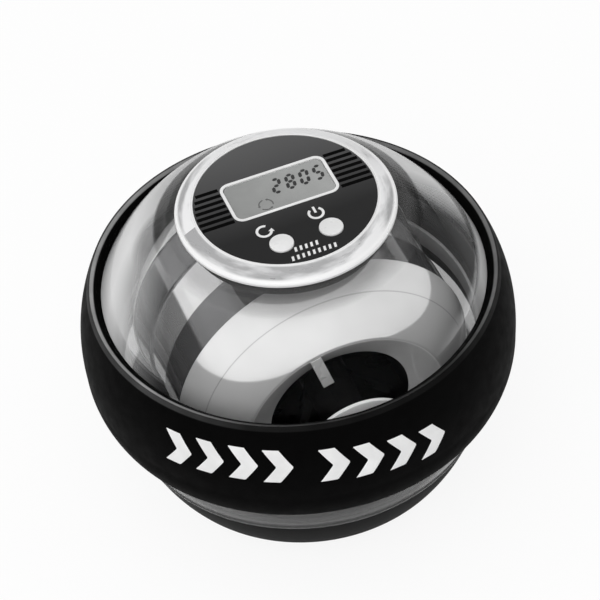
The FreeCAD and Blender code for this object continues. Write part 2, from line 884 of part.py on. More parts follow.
def make_rotor_halves():
    rear = turned("rotor_rear", half_profile(1), "XY_Plane")
    front = turned("rotor_front", half_profile(-1), "XY_Plane")
    aside = size("rotor_screw_circle") * size("diagonal_share")
    hole = round_pocket(rear, "XZ_Plane", ZERO, aside, aside, size("rotor_screw_radius"),
                        size("rotor_screw_end"))
    polar(rear, hole, COUNTS["rotor_screws"], "Y_Axis")
    hole = round_pocket(front, "XZ_Plane", ZERO, aside, aside, size("rotor_screw_radius"),
                        size("floor_depth"), along=True)
    polar(front, hole, COUNTS["rotor_screws"], "Y_Axis")
    seat = size("magnet_top") - size("magnet_length")
    reach = size("magnet_length") * 2
    for along in (False, True):
        offset = -seat if not along else seat
        round_pocket(front, "XY_Plane", offset, ZERO, -size("magnet_place"),
                     size("magnet_radius"), reach, along)


def make_rotor_screws():
    body = new_body("rotor_screws")
    place = size("rotor_screw_circle")
    sketch = new_sketch(body, "XY_Plane")
    floor = -size("floor_depth")
    head = floor - size("rotor_screw_head_height")
    radius = size("rotor_screw_radius")
    outline(sketch, [
        (place, size("rotor_screw_end")),
        (place, head + size("drive_depth")),
        (place + size("drive_radius"), head + size("drive_depth")),
        (place + size("drive_radius"), head),
        (place + size("rotor_screw_head"), head),
        (place + size("rotor_screw_head"), floor),
        (place + radius, floor),
        (place + radius, size("rotor_screw_end")),
    ])
    line = sketch.addGeometry(Part.LineSegment(vector(place, ZERO), vector(place, -MIDDLE)), True)
    bind_point(sketch, line, 1, place, ZERO)
    bind_point(sketch, line, 2, place, -MIDDLE)
    feature = body.newObject("PartDesign::Revolution", "rotor_screws_turn")
    feature.Profile = sketch
    feature.ReferenceAxis = (sketch, ["Axis0"])
    feature.Angle = 360
    sketch.Visibility = False
    body.Tip = feature
    polar(body, feature, COUNTS["rotor_screws"], "Y_Axis")
    turn_about_axle(body, size("rotor_screw_phase"))


def make_belt():
    half = size("belt_half")
    body = turned("rotor_belt", [
        (size("belt_bore"), -half),
        (size("belt_radius"), -half),
        (size("belt_radius"), half),
        (size("belt_bore"), half),
    ], "XY_Plane")
    depth = size("belt_radius") - size("weight_radius")
    round_pocket(body, "YZ_Plane", size("weight_radius"), ZERO, ZERO,
                 size("string_hole_radius"), depth * 2, along=True)


def make_weight_ring():
    half = size("weight_half")
    turned("weight_ring", [
        (size("weight_bore"), -half),
        (size("weight_radius"), -half),
        (size("weight_radius"), half),
        (size("weight_bore"), half),
    ], "XY_Plane")


def make_hub(label, side):
    turned(label, [
        (size("axle_radius"), size("boss_end") * side),
        (size("boss_radius"), size("boss_end") * side),
        (size("boss_radius"), size("hub_waist") * side),
        (size("hub_radius"), size("hub_back") * side),
        (size("hub_radius"), size("hub_rim") * side,
         size("hub_bulge_radius"), size("hub_bulge") * side),
        (size("hub_face_radius"), size("hub_face") * side),
        (size("axle_radius"), size("hub_face") * side),
    ], "XY_Plane")


def make_rib_spider(label, side):
    """Ribs that stand on the recess floor and rise to the mouth.

    A rib's flat sides meet the round wall and the cone at its corners, half a rib from its middle.
    """
    body = new_body(label)
    half = size("rib_half")
    sketch = new_sketch(body, "YZ_Plane", -half)
    deep = size("floor_depth") * side
    lip = size("mouth_radius") - size("mouth_lip")
    slope = (size("mouth") - size("throat")) / (lip - size("throat_radius"))
    wall = (size("throat_radius") * size("throat_radius") - half * half).root()
    corner = (size("rib_outer") * size("rib_outer") + half * half).root()
    cone_outer = (size("throat") + (corner - size("throat_radius")) * slope) * side
    outline(sketch, [
        (deep, size("boss_radius")),
        (size("boss_end") * side, size("boss_radius")),
        (size("rib_back") * side, size("rib_inner")),
        (size("rib_front") * side, size("rib_inner")),
        (size("rib_front") * side, size("rib_outer")),
        (cone_outer, size("rib_outer")),
        (size("throat") * side, wall),
        (deep, wall),
    ])
    rib = pad(body, sketch, half * 2)
    polar(body, rib, COUNTS["ribs"], "Y_Axis")
    turn_about_axle(body, size("rib_phase"))


def make_plug(label, side):
    """A plug in the front half's drum: the trigger magnet above, the balance plug below."""
    body = new_body(label)
    seat = size("magnet_top") - size("magnet_length")
    offset = seat if side > 0 else -size("magnet_top")
    round_pad(body, "XY_Plane", offset, ZERO, -size("magnet_place"),
              size("magnet_radius"), size("magnet_length"))
    lift(body)


# Counter

def make_gasket_and_bezel():
    base = size("neck_top") + size("gasket_height")
    turned("collar_gasket", [
        (size("neck_bore"), size("neck_top")),
        (size("gasket_radius"), size("neck_top")),
        (size("gasket_radius"), base),
        (size("neck_bore"), base),
    ])
    turned("bezel_ring", [
        (size("housing_bore"), base),
        (size("bezel_radius"), base),
        (size("bezel_radius"), base + size("bezel_edge"),
         size("bezel_round_radius"), size("bezel_round")),
        (size("bezel_shoulder_radius"), size("bezel_shoulder")),
        (size("bezel_crest_radius"), size("bezel_crest")),
        (size("bezel_bore"), size("bezel_inner_edge")),
        (size("bezel_bore"), size("face_bottom")),
        (size("bezel_ledge_radius"), size("face_bottom")),
        (size("bezel_ledge_radius"), size("bezel_ledge_bottom")),
        (size("housing_bore"), size("bezel_ledge_bottom")),
    ])


def make_housing():
    base = size("neck_top") + size("gasket_height")
    bottom = size("housing_bottom")
    floor = bottom + size("housing_floor")
    ledge = bottom + size("door_flange")
    body = turned("counter_housing", [
        (size("door_flange_radius"), bottom),
        (size("housing_radius"), bottom),
        (size("housing_radius"), base),
        (size("housing_bore"), base),
        (size("housing_bore"), floor),
        (size("door_radius"), floor),
        (size("door_radius"), ledge),
        (size("door_flange_radius"), ledge),
    ])
    height = size("board_bottom") - floor
    post = round_pad(body, "XY_Plane", floor, ZERO, size("board_screw_circle"),
                     size("post_radius"), height)
    polar(body, post, COUNTS["board_screws"])
    hole = round_pocket(body, "XY_Plane", size("board_bottom"), ZERO, size("board_screw_circle"),
                        size("board_screw_radius"), height)
    polar(body, hole, COUNTS["board_screws"])


def make_battery_door():
    bottom = size("housing_bottom")
    floor = bottom + size("housing_floor")
    ledge = bottom + size("door_flange")
    gap = size("fit_gap")
    body = turned("battery_door", [
        (ZERO, bottom),
        (size("door_flange_radius") - gap, bottom),
        (size("door_flange_radius") - gap, ledge),
        (size("door_radius") - gap, ledge),
        (size("door_radius") - gap, floor),
        (ZERO, floor),
    ])
    sketch = new_sketch(body, "XY_Plane", bottom)
    half = size("door_slot_width") * HALF
    rectangle(sketch, -size("door_slot_half"), size("door_slot_half"), -half, half)
    pocket(body, sketch, size("door_slot_depth"), along=True)


def make_coin_cell():
    bottom = size("housing_bottom") + size("housing_floor")
    top = bottom + size("cell_height")
    step = bottom + size("cell_step_height")
    turned("coin_cell", [
        (ZERO, bottom),
        (size("cell_radius") - size("cell_step"), bottom),
        (size("cell_radius") - size("cell_step"), step),
        (size("cell_radius"), step),
        (size("cell_radius"), top),
        (ZERO, top),
    ])


def make_contacts():
    bottom = size("housing_bottom") + size("housing_floor")
    top = bottom + size("cell_height")
    turned("cell_contact", [
        (size("contact_bore"), top),
        (size("contact_radius"), top),
        (size("contact_radius"), size("board_bottom")),
        (size("contact_bore"), size("board_bottom")),
    ])
    body = new_body("side_contact")
    sketch = new_sketch(body, "XY_Plane", bottom)
    near = size("cell_radius")
    rectangle(sketch, near, near + size("tab_thickness"), -size("tab_half"), size("tab_half"))
    pad(body, sketch, size("board_bottom") - bottom)
    lift(body)


def make_circuit_board():
    body = new_body("circuit_board")
    board = size("board_thickness")
    round_pad(body, "XY_Plane", size("board_bottom"), ZERO, ZERO, size("board_radius"), board)
    hole = round_pocket(body, "XY_Plane", size("board_top"), ZERO,
                        size("board_screw_circle"), size("board_screw_radius"), board)
    polar(body, hole, COUNTS["board_screws"])
    lift(body)


def make_board_screws():
    body = new_body("board_screws")
    floor = size("housing_bottom") + size("housing_floor")
    top = size("board_top")
    head = top + size("board_screw_head_height")
    place = size("board_screw_circle")
    sketch = new_sketch(body, "YZ_Plane")
    slot = size("board_screw_head_height") * HALF
    outline(sketch, [
        (place, floor),
        (place + size("board_screw_radius"), floor),
        (place + size("board_screw_radius"), top),
        (place + size("board_screw_head"), top),
        (place + size("board_screw_head"), head),
        (place + size("board_screw_radius") * HALF, head),
        (place + size("board_screw_radius") * HALF, head - slot),
        (place, head - slot),
    ])
    line = sketch.addGeometry(Part.LineSegment(vector(place, ZERO), vector(place, MIDDLE)), True)
    bind_point(sketch, line, 1, place, ZERO)
    bind_point(sketch, line, 2, place, MIDDLE)
    feature = body.newObject("PartDesign::Revolution", "board_screws_turn")
    feature.Profile = sketch
    feature.ReferenceAxis = (sketch, ["Axis0"])
    feature.Angle = 360
    sketch.Visibility = False
    body.Tip = feature
    polar(body, feature, COUNTS["board_screws"])
    lift(body)


def make_reed_switch():
    body = new_body("reed_switch")
    round_pad(body, "YZ_Plane", -size("reed_half"), size("reed_place"),
              size("board_bottom") - size("reed_radius"), size("reed_radius"),
              size("reed_half") * 2)
    lift(body)


def make_counter_chip():
    body = new_body("counter_chip")
    sketch = new_sketch(body, "XY_Plane", size("board_bottom") - size("chip_height"))
    half = size("chip_side") * HALF
    place = -size("chip_place")
    rectangle(sketch, place - half, place + half, -half, half)
    pad(body, sketch, size("chip_height"))
    lift(body)


def make_display():
    top = size("board_top")
    strips = new_body("zebra_strips")
    sketch = new_sketch(strips, "XY_Plane", top)
    for side in (1, -1):
        edge = size("lcd_half_depth") - size("strip_inset")
        near = size("window_centre") + edge * side
        far = near - size("strip_width") * side
        low, high = (far, near) if side > 0 else (near, far)
        rectangle(sketch, -size("strip_half"), size("strip_half"), low, high)
    pad(strips, sketch, size("lcd_bottom") - top)
    lift(strips)
    panel = new_body("lcd_panel")
    sketch = new_sketch(panel, "XY_Plane", size("lcd_bottom"))
    low = size("window_centre") - size("lcd_half_depth")
    high = size("window_centre") + size("lcd_half_depth")
    rectangle(sketch, -size("lcd_half_width"), size("lcd_half_width"), low, high)
    pad(panel, sketch, size("lcd_thickness"))
    lift(panel)


def make_faceplate():
    body = new_body("faceplate")
    height = size("face_top") - size("face_bottom")
    round_pad(body, "XY_Plane", size("face_bottom"), ZERO, ZERO, size("face_radius"), height)
    sketch = new_sketch(body, "XY_Plane", size("face_top"))
    rounded(sketch, size("window_half_width"), size("window_half_depth"), size("window_centre"),
            size("window_corner"))
    pocket(body, sketch, height)
    sketch = new_sketch(body, "XY_Plane", size("face_top"))
    frame = size("frame_width")
    rounded(sketch, size("window_half_width") + frame, size("window_half_depth") + frame,
            size("window_centre"), size("window_corner") + frame)
    pocket(body, sketch, size("frame_depth"))
    sketch = new_sketch(body, "XY_Plane", size("face_bottom"))
    room = size("fit_gap")
    low = size("window_centre") - size("lcd_half_depth") - room
    high = size("window_centre") + size("lcd_half_depth") + room
    wide = size("lcd_half_width") + room
    rectangle(sketch, -wide, wide, low, high)
    lcd_top = size("lcd_bottom") + size("lcd_thickness")
    pocket(body, sketch, lcd_top - size("face_bottom"), along=True)
    for side in (-1, 1):
        round_pocket(body, "XY_Plane", size("face_top"), size("button_spread") * side,
                     -size("button_back"), size("button_radius") + size("button_gap"), height)
    sketch = new_sketch(body, "XY_Plane", size("face_top"))
    for number in range(COUNTS["stripes"]):
        low = size("stripe_pitch") * number - size("stripe_first")
        high = low + size("stripe_width")
        reach = (size("stripe_outer") * size("stripe_outer") - high * high).root()
        reach = reach - size("stripe_spare")
        rectangle(sketch, size("stripe_inner"), reach, low, high)
        rectangle(sketch, -reach, -size("stripe_inner"), low, high)
    pocket(body, sketch, size("stripe_depth"))
    lift(body)


def make_window():
    frame = new_body("window_frame")
    sketch = new_sketch(frame, "XY_Plane", size("face_top") - size("frame_depth"))
    extra = size("frame_width")
    rounded(sketch, size("window_half_width") + extra, size("window_half_depth") + extra,
            size("window_centre"), size("window_corner") + extra)
    rounded(sketch, size("window_half_width"), size("window_half_depth"), size("window_centre"),
            size("window_corner"))
    pad(frame, sketch, size("frame_depth") + size("frame_proud"))
    lift(frame)
    lens = new_body("window_lens")
    lcd_top = size("lcd_bottom") + size("lcd_thickness")
    sketch = new_sketch(lens, "XY_Plane", lcd_top)
    rounded(sketch, size("window_half_width"), size("window_half_depth"), size("window_centre"),
            size("window_corner"))
    pad(lens, sketch, size("face_top") - size("lens_sink") - lcd_top)
    lift(lens)


def make_switch_domes():
    body = new_body("switch_domes")
    top = size("board_top")
    sketch = new_sketch(body, "XY_Plane", top)
    for side in (-1, 1):
        circle(sketch, size("button_spread") * side, -size("button_back"), size("snap_radius"))
    pad(body, sketch, size("snap_height"))
    lift(body)


def make_button(label, side):
    """A cap with a flange that the faceplate holds in, turned about its own upright axis."""
    radius = size("button_radius")
    crown = size("face_top") + size("button_proud")
    flange_top = size("face_bottom") - size("fit_gap")
    flange_bottom = flange_top - size("button_flange")
    inset = size("button_dome") * (Size(1.0, "1") - size("diagonal_share"))
    body = turned(label, [
        (ZERO, flange_bottom),
        (size("button_flange_radius"), flange_bottom),
        (size("button_flange_radius"), flange_top),
        (radius, flange_top),
        (radius, crown, radius - inset, crown + size("button_dome") - inset),
        (radius - size("button_dome"), crown + size("button_dome")),
        (ZERO, crown + size("button_dome")),
    ])
    body.setExpression("Placement.Base.x", (size("button_spread") * side).text)
    body.setExpression("Placement.Base.y", (-size("button_back")).text)


def export_all():
    doc.recompute()
    os.makedirs("parts", exist_ok=True)
    bodies = [item for item in doc.Objects if item.TypeId == "PartDesign::Body"]
    for item in doc.Objects:
        if "Invalid" in item.State or "Error" in item.State:
            raise RuntimeError("%s is %s" % (item.Name, item.State))
    for body in bodies:
        shape = body.Shape
        if shape.isNull() or not shape.isValid() or not shape.Solids:
            raise RuntimeError("%s has no good shape" % body.Label)
        shape.exportStep(os.path.join("parts", body.Label + ".step"))
        box = shape.BoundBox
        print("%-18s solids %d volume %9.2f  z %6.2f to %6.2f" % (
            body.Label, len(shape.Solids), shape.Volume, box.ZMin, box.ZMax))


make_upper_shell()
make_lower_shell()
make_lock_screws()
make_races()
make_foot_ring()
make_grip_band()
make_guide_ring()
make_axle_bushings()
make_axle()
make_rotor_halves()
make_rotor_screws()
make_belt()
make_weight_ring()
make_hub("hub_front", -1)
make_hub("hub_rear", 1)
make_plug("trigger_magnet", 1)
make_plug("balance_plug", -1)
make_rib_spider("rib_spider_front", -1)
make_rib_spider("rib_spider_rear", 1)
make_gasket_and_bezel()
make_housing()
make_battery_door()
make_coin_cell()
make_contacts()
make_circuit_board()
make_board_screws()
make_reed_switch()
make_counter_chip()
make_display()
make_faceplate()
make_window()
make_switch_domes()
make_button("button_left", -1)
make_button("button_right", 1)
export_all()
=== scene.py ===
"""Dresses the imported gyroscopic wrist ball: clear shell, chrome rotor, rubber band and counter.

Lengths in the classes are millimetres from the rotor's centre, as the source keeps them, and go to
metres with the rest face at zero when a mesh is made. The finishes read the same millimetres.
"""

import json
import logging
import math
from collections.abc import Sequence
from dataclasses import dataclass, field
from enum import Enum
from functools import reduce

import bpy
import numpy as np
from mathutils import Matrix, Vector

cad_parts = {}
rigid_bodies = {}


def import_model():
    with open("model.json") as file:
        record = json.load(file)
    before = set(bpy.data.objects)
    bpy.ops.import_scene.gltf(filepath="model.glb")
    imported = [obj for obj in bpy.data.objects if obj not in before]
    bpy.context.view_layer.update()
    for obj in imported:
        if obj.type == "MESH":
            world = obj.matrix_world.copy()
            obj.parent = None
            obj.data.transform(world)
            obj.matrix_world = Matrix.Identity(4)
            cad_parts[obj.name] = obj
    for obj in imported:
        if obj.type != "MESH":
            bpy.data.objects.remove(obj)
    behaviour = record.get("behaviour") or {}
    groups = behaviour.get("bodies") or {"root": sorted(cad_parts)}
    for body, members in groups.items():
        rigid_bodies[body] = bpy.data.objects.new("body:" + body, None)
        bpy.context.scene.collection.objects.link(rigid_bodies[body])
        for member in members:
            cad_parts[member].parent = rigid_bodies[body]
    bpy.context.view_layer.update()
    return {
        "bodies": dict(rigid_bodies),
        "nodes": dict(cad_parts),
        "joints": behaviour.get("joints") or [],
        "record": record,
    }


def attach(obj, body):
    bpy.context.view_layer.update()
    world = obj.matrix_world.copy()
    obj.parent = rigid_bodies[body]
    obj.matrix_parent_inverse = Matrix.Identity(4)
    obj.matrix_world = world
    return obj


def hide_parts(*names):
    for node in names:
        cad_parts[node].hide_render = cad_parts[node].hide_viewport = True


LOG = logging.getLogger("wrist_ball")
MILLIMETRE = 0.001
CENTRE_HEIGHT = 29.7
SHELL_DROP = 1.0
AXLE_TURN = 17.4
SHARP_ANGLE = math.radians(34.0)
SAME_POINT = 1e-5
WHITE = (1.0, 1.0, 1.0)

# Roundings of a moulded or turned edge, from crisp to full.
CRISP = 0.05
FINE = 0.08
EDGE = 0.1
NEAT = 0.12
SOFT = 0.2
ROUND = 0.25
FULL = 0.3

# A span is a range and the values that its two ends are carried to.
Point = tuple[float, float]
Point3 = tuple[float, float, float]
Shade = tuple[float, float, float]
Span = tuple[float, float, float, float]
Socket = bpy.types.NodeSocket
Value = Socket | float


class Axis(Enum):
    """The axis that a turned piece goes round."""

    UPRIGHT = "Z"
    AXLE = "Y"


@dataclass(frozen=True)
class Corner:
    """A corner of a profile: distance from the axis, place along it, rounding and arc to the next."""

    out: float
    along: float
    round: float = 0.0
    via: Point | None = None

    def on_side(self, side: int) -> "Corner":
        """The corner itself for side 1, or mirrored along the axis for side -1."""
        via = None if self.via is None else (self.via[0], self.via[1] * side)
        return Corner(self.out, self.along * side, self.round, via)


def on_sphere(radius: float, height: float, bulge: float = 0.0) -> Point:
    """A shell sphere's point at a height: root of its radius squared less its own height squared, and a bulge."""
    return math.sqrt(radius ** 2 - (height + SHELL_DROP) ** 2) + bulge, height


def sphere_up(radius: float, out: float) -> float:
    """Height above the rotor's centre of a shell sphere's upper half at a distance from its axis."""
    return math.sqrt(radius ** 2 - out ** 2) - SHELL_DROP


def circle(turn: np.ndarray, radius: float = 1.0) -> np.ndarray:
    """Points of a circle about zero: the radius times the cosine and the sine of each angle."""
    return np.stack([np.cos(turn), np.sin(turn)], axis=1) * radius


def arc_through(start: Point, via: Point, end: Point, step: float) -> np.ndarray:
    """Points of the circle's arc from start to end that passes through via.

    The centre is where the perpendicular bisectors of the two chords meet, and the angle runs evenly
    from the start's to the end's, on the side that holds via.

    Args:
        start: first point.
        via: a point that the arc passes through.
        end: last point.
        step: the longest run between two points.

    Returns:
        An array of points, both ends among them.
    """
    a, b, c = (np.array(p, float) for p in (start, via, end))
    rows = 2.0 * np.array([b - a, c - a])
    centre = np.linalg.solve(rows, np.array([b @ b - a @ a, c @ c - a @ a]))
    angles = [math.atan2(*(p - centre)[::-1]) for p in (a, b, c)]
    sweep = (angles[2] - angles[0]) % math.tau
    if (angles[1] - angles[0]) % math.tau > sweep:
        sweep -= math.tau
    radius = float(np.linalg.norm(a - centre))
    count = max(4, int(abs(sweep) * radius / step) + 2)
    return centre + circle(angles[0] + np.linspace(0.0, sweep, count), radius)


def cut_back(edge: np.ndarray, head: float, tail: float) -> np.ndarray:
    """The edge without the first head and last tail of its length.

    Args:
        edge: the edge's points.
        head: length taken off at the start.
        tail: length taken off at the end.

    Returns:
        The points between, with new ends worked out by their length along the edge.
    """
    runs = np.linalg.norm(np.diff(edge, axis=0), axis=1)
    place = np.concatenate([[0.0], np.cumsum(runs)])
    low, high = head, place[-1] - tail
    inner = place[(place > low + 1e-6) & (place < high - 1e-6)]
    wanted = np.concatenate([[low], inner, [high]])
    return np.stack([np.interp(wanted, place, edge[:, k]) for k in (0, 1)], axis=1)


def profile(rows: Sequence[tuple], step: float = 1.2, closed: bool = True, side: int = 1) -> np.ndarray:
    """The points of a profile with its arcs and rounded corners.

    A rounding is a parabola from one cut edge to the next, whose middle control point is the corner.

    Args:
        rows: the corners' distance, place along the axis, rounding and arc point, in order.
        step: the longest run between two points of an arc.
        closed: whether the last corner joins the first.
        side: -1 to mirror the profile along the axis.

    Returns:
        The profile's points.
    """
    corners = [Corner(*row).on_side(side) for row in rows]
    count = len(corners)
    edges = []
    for corner, after in zip(corners if closed else corners[:-1], corners[1:] + corners[:1]):
        start, end = (corner.out, corner.along), (after.out, after.along)
        edge = np.array([start, end], float) if corner.via is None else arc_through(start, corner.via, end, step)
        edges.append(cut_back(edge, corner.round, after.round))
    parts = []
    for number, edge in enumerate(edges):
        parts.append(edge)
        after = corners[(number + 1) % count]
        if after.round > 0.0 and (closed or number + 1 < len(edges)):
            share = np.linspace(0.0, 1.0, 6)[1:-1, None]
            knee = np.array([after.out, after.along])
            first, last = edge[-1], edges[(number + 1) % len(edges)][0]
            parts.append((1 - share) ** 2 * first + 2 * share * (1 - share) * knee + share ** 2 * last)
    points = np.concatenate(parts)
    keep = np.ones(len(points), bool)
    keep[1:] = np.linalg.norm(np.diff(points, axis=0), axis=1) > SAME_POINT
    if closed and np.linalg.norm(points[0] - points[-1]) <= SAME_POINT:
        keep[-1] = False
    return points[keep]


def new_object(name: str, points: np.ndarray, faces: list[np.ndarray], sharp: bool = True) -> bpy.types.Object:
    """A mesh object from points in millimetres about the rotor's centre.

    Args:
        name: the piece's name.
        points: the vertices.
        faces: arrays of quads or triangles.
        sharp: whether edges past the sharp angle stay sharp.

    Returns:
        The object, linked to the scene, with its place in its mesh.
    """
    placed = (np.asarray(points, float) + np.array([0.0, 0.0, CENTRE_HEIGHT])) * MILLIMETRE
    loops = np.concatenate([part.ravel() for part in faces]).astype(np.int32)
    sizes = np.concatenate([np.full(len(part), part.shape[1]) for part in faces]).astype(np.int32)
    starts = np.concatenate([[0], np.cumsum(sizes)[:-1]]).astype(np.int32)
    mesh = bpy.data.meshes.new(name)
    mesh.vertices.add(len(placed))
    mesh.vertices.foreach_set("co", placed.astype(np.float32).ravel())
    mesh.loops.add(len(loops))
    mesh.loops.foreach_set("vertex_index", loops)
    mesh.polygons.add(len(starts))
    mesh.polygons.foreach_set("loop_start", starts)
    mesh.polygons.foreach_set("use_smooth", np.ones(len(starts), bool))
    mesh.update(calc_edges=True)
    mesh.validate()
    if sharp:
        mesh.set_sharp_from_angle(angle=SHARP_ANGLE)
    piece = bpy.data.objects.new(name, mesh)
    bpy.context.scene.collection.objects.link(piece)
    return piece


def outward(points: np.ndarray, faces: list[np.ndarray]) -> list[np.ndarray]:
    """Turns the faces round if the closed surface they make is inside out.

    The sign is that of the volume: the sum over triangles of a point times the next two's cross product.

    Args:
        points: the vertices.
        faces: arrays of quads or triangles.

    Returns:
        The faces, pointing outwards.
    """
    volume = 0.0
    for part in faces:
        for second in range(1, part.shape[1] - 1):
            a, b, c = (points[part[:, k]] for k in (0, second, second + 1))
            volume += float(np.einsum("ij,ij->i", a, np.cross(b, c)).sum())
    return faces if volume > 0.0 else [part[:, ::-1] for part in faces]


def turned(name: str, outline: np.ndarray, axis: Axis, steps: int = 224, closed: bool = True,
           centre: Point = (0.0, 0.0)) -> bpy.types.Object:
    """A piece of turning: the profile carried round the axis.

    A point is (out times cosine, out times sine) across the axis and its own place along it. Ends on
    the axis of an open profile close to a single point.

    Args:
        name: the piece's name.
        outline: the profile's points, distance from the axis and place along it.
        axis: the axis it goes round.
        steps: how many sections there are round the axis.
        closed: whether the profile is a loop.
        centre: where the axis stands in the X and Y plane.

    Returns:
        The piece.
    """
    turn = np.linspace(0.0, math.tau, steps, endpoint=False)
    body = outline if closed else outline[1:-1]
    out, along = body[:, 0][:, None], body[:, 1][:, None]
    across, up = out * np.cos(turn), out * np.sin(turn)
    height = np.broadcast_to(along, across.shape)
    order = (across, up, height) if axis is Axis.UPRIGHT else (across, height, up)
    points = np.stack(order, axis=-1).reshape(-1, 3)
    rows = len(body)
    row = np.arange(rows if closed else rows - 1)[:, None]
    column = np.arange(steps)[None, :]
    below, above = row * steps, ((row + 1) % rows) * steps
    ahead = (column + 1) % steps
    quads = np.stack([below + column, below + ahead, above + ahead, above + column], axis=-1).reshape(-1, 4)
    faces = [quads]
    if not closed:
        poles = [(0.0, 0.0, p) if axis is Axis.UPRIGHT else (0.0, p, 0.0) for p in (outline[0, 1], outline[-1, 1])]
        points = np.concatenate([points, np.array(poles)])
        ring = np.arange(steps)
        after = (ring + 1) % steps
        first = np.stack([after, ring, np.full(steps, rows * steps)], axis=1)
        last = np.stack([ring, after, np.full(steps, rows * steps + 1)], axis=1)
        last[:, :2] += (rows - 1) * steps
        faces += [first, last]
    return new_object(name, points + np.array([*centre, 0.0]), outward(points, faces))


def slab(name: str, loops: list[np.ndarray], low: float, high: float) -> bpy.types.Object:
    """Flat pieces with an even thickness: each outline is carried from the low to the high level.

    Args:
        name: the piece's name.
        loops: outlines in the X and Y plane, each star shaped about its mean.
        low: the lower level.
        high: the upper level.

    Returns:
        The piece.
    """
    points, tris, quads = [], [], []
    start = 0
    for loop in loops:
        count = len(loop)
        ring = np.concatenate([loop, loop.mean(axis=0)[None]])
        for level in (low, high):
            points.append(np.column_stack([ring, np.full(count + 1, level)]))
        number = np.arange(count)
        after = (number + 1) % count
        top = start + count + 1
        tris.append(np.stack([start + after, start + number, np.full(count, start + count)], axis=1))
        tris.append(np.stack([top + number, top + after, np.full(count, top + count)], axis=1))
        quads.append(np.stack([start + number, start + after, top + after, top + number], axis=1))
        start += 2 * (count + 1)
    return new_object(name, np.concatenate(points), [np.concatenate(tris), np.concatenate(quads)])


@dataclass(frozen=True)
class Cloud:
    """Uneven noise: clouds to a metre, finer layers, the values it runs between and where it is cut."""

    scale: float
    detail: float
    low: float
    high: float
    cut: Point = (0.3, 0.7)


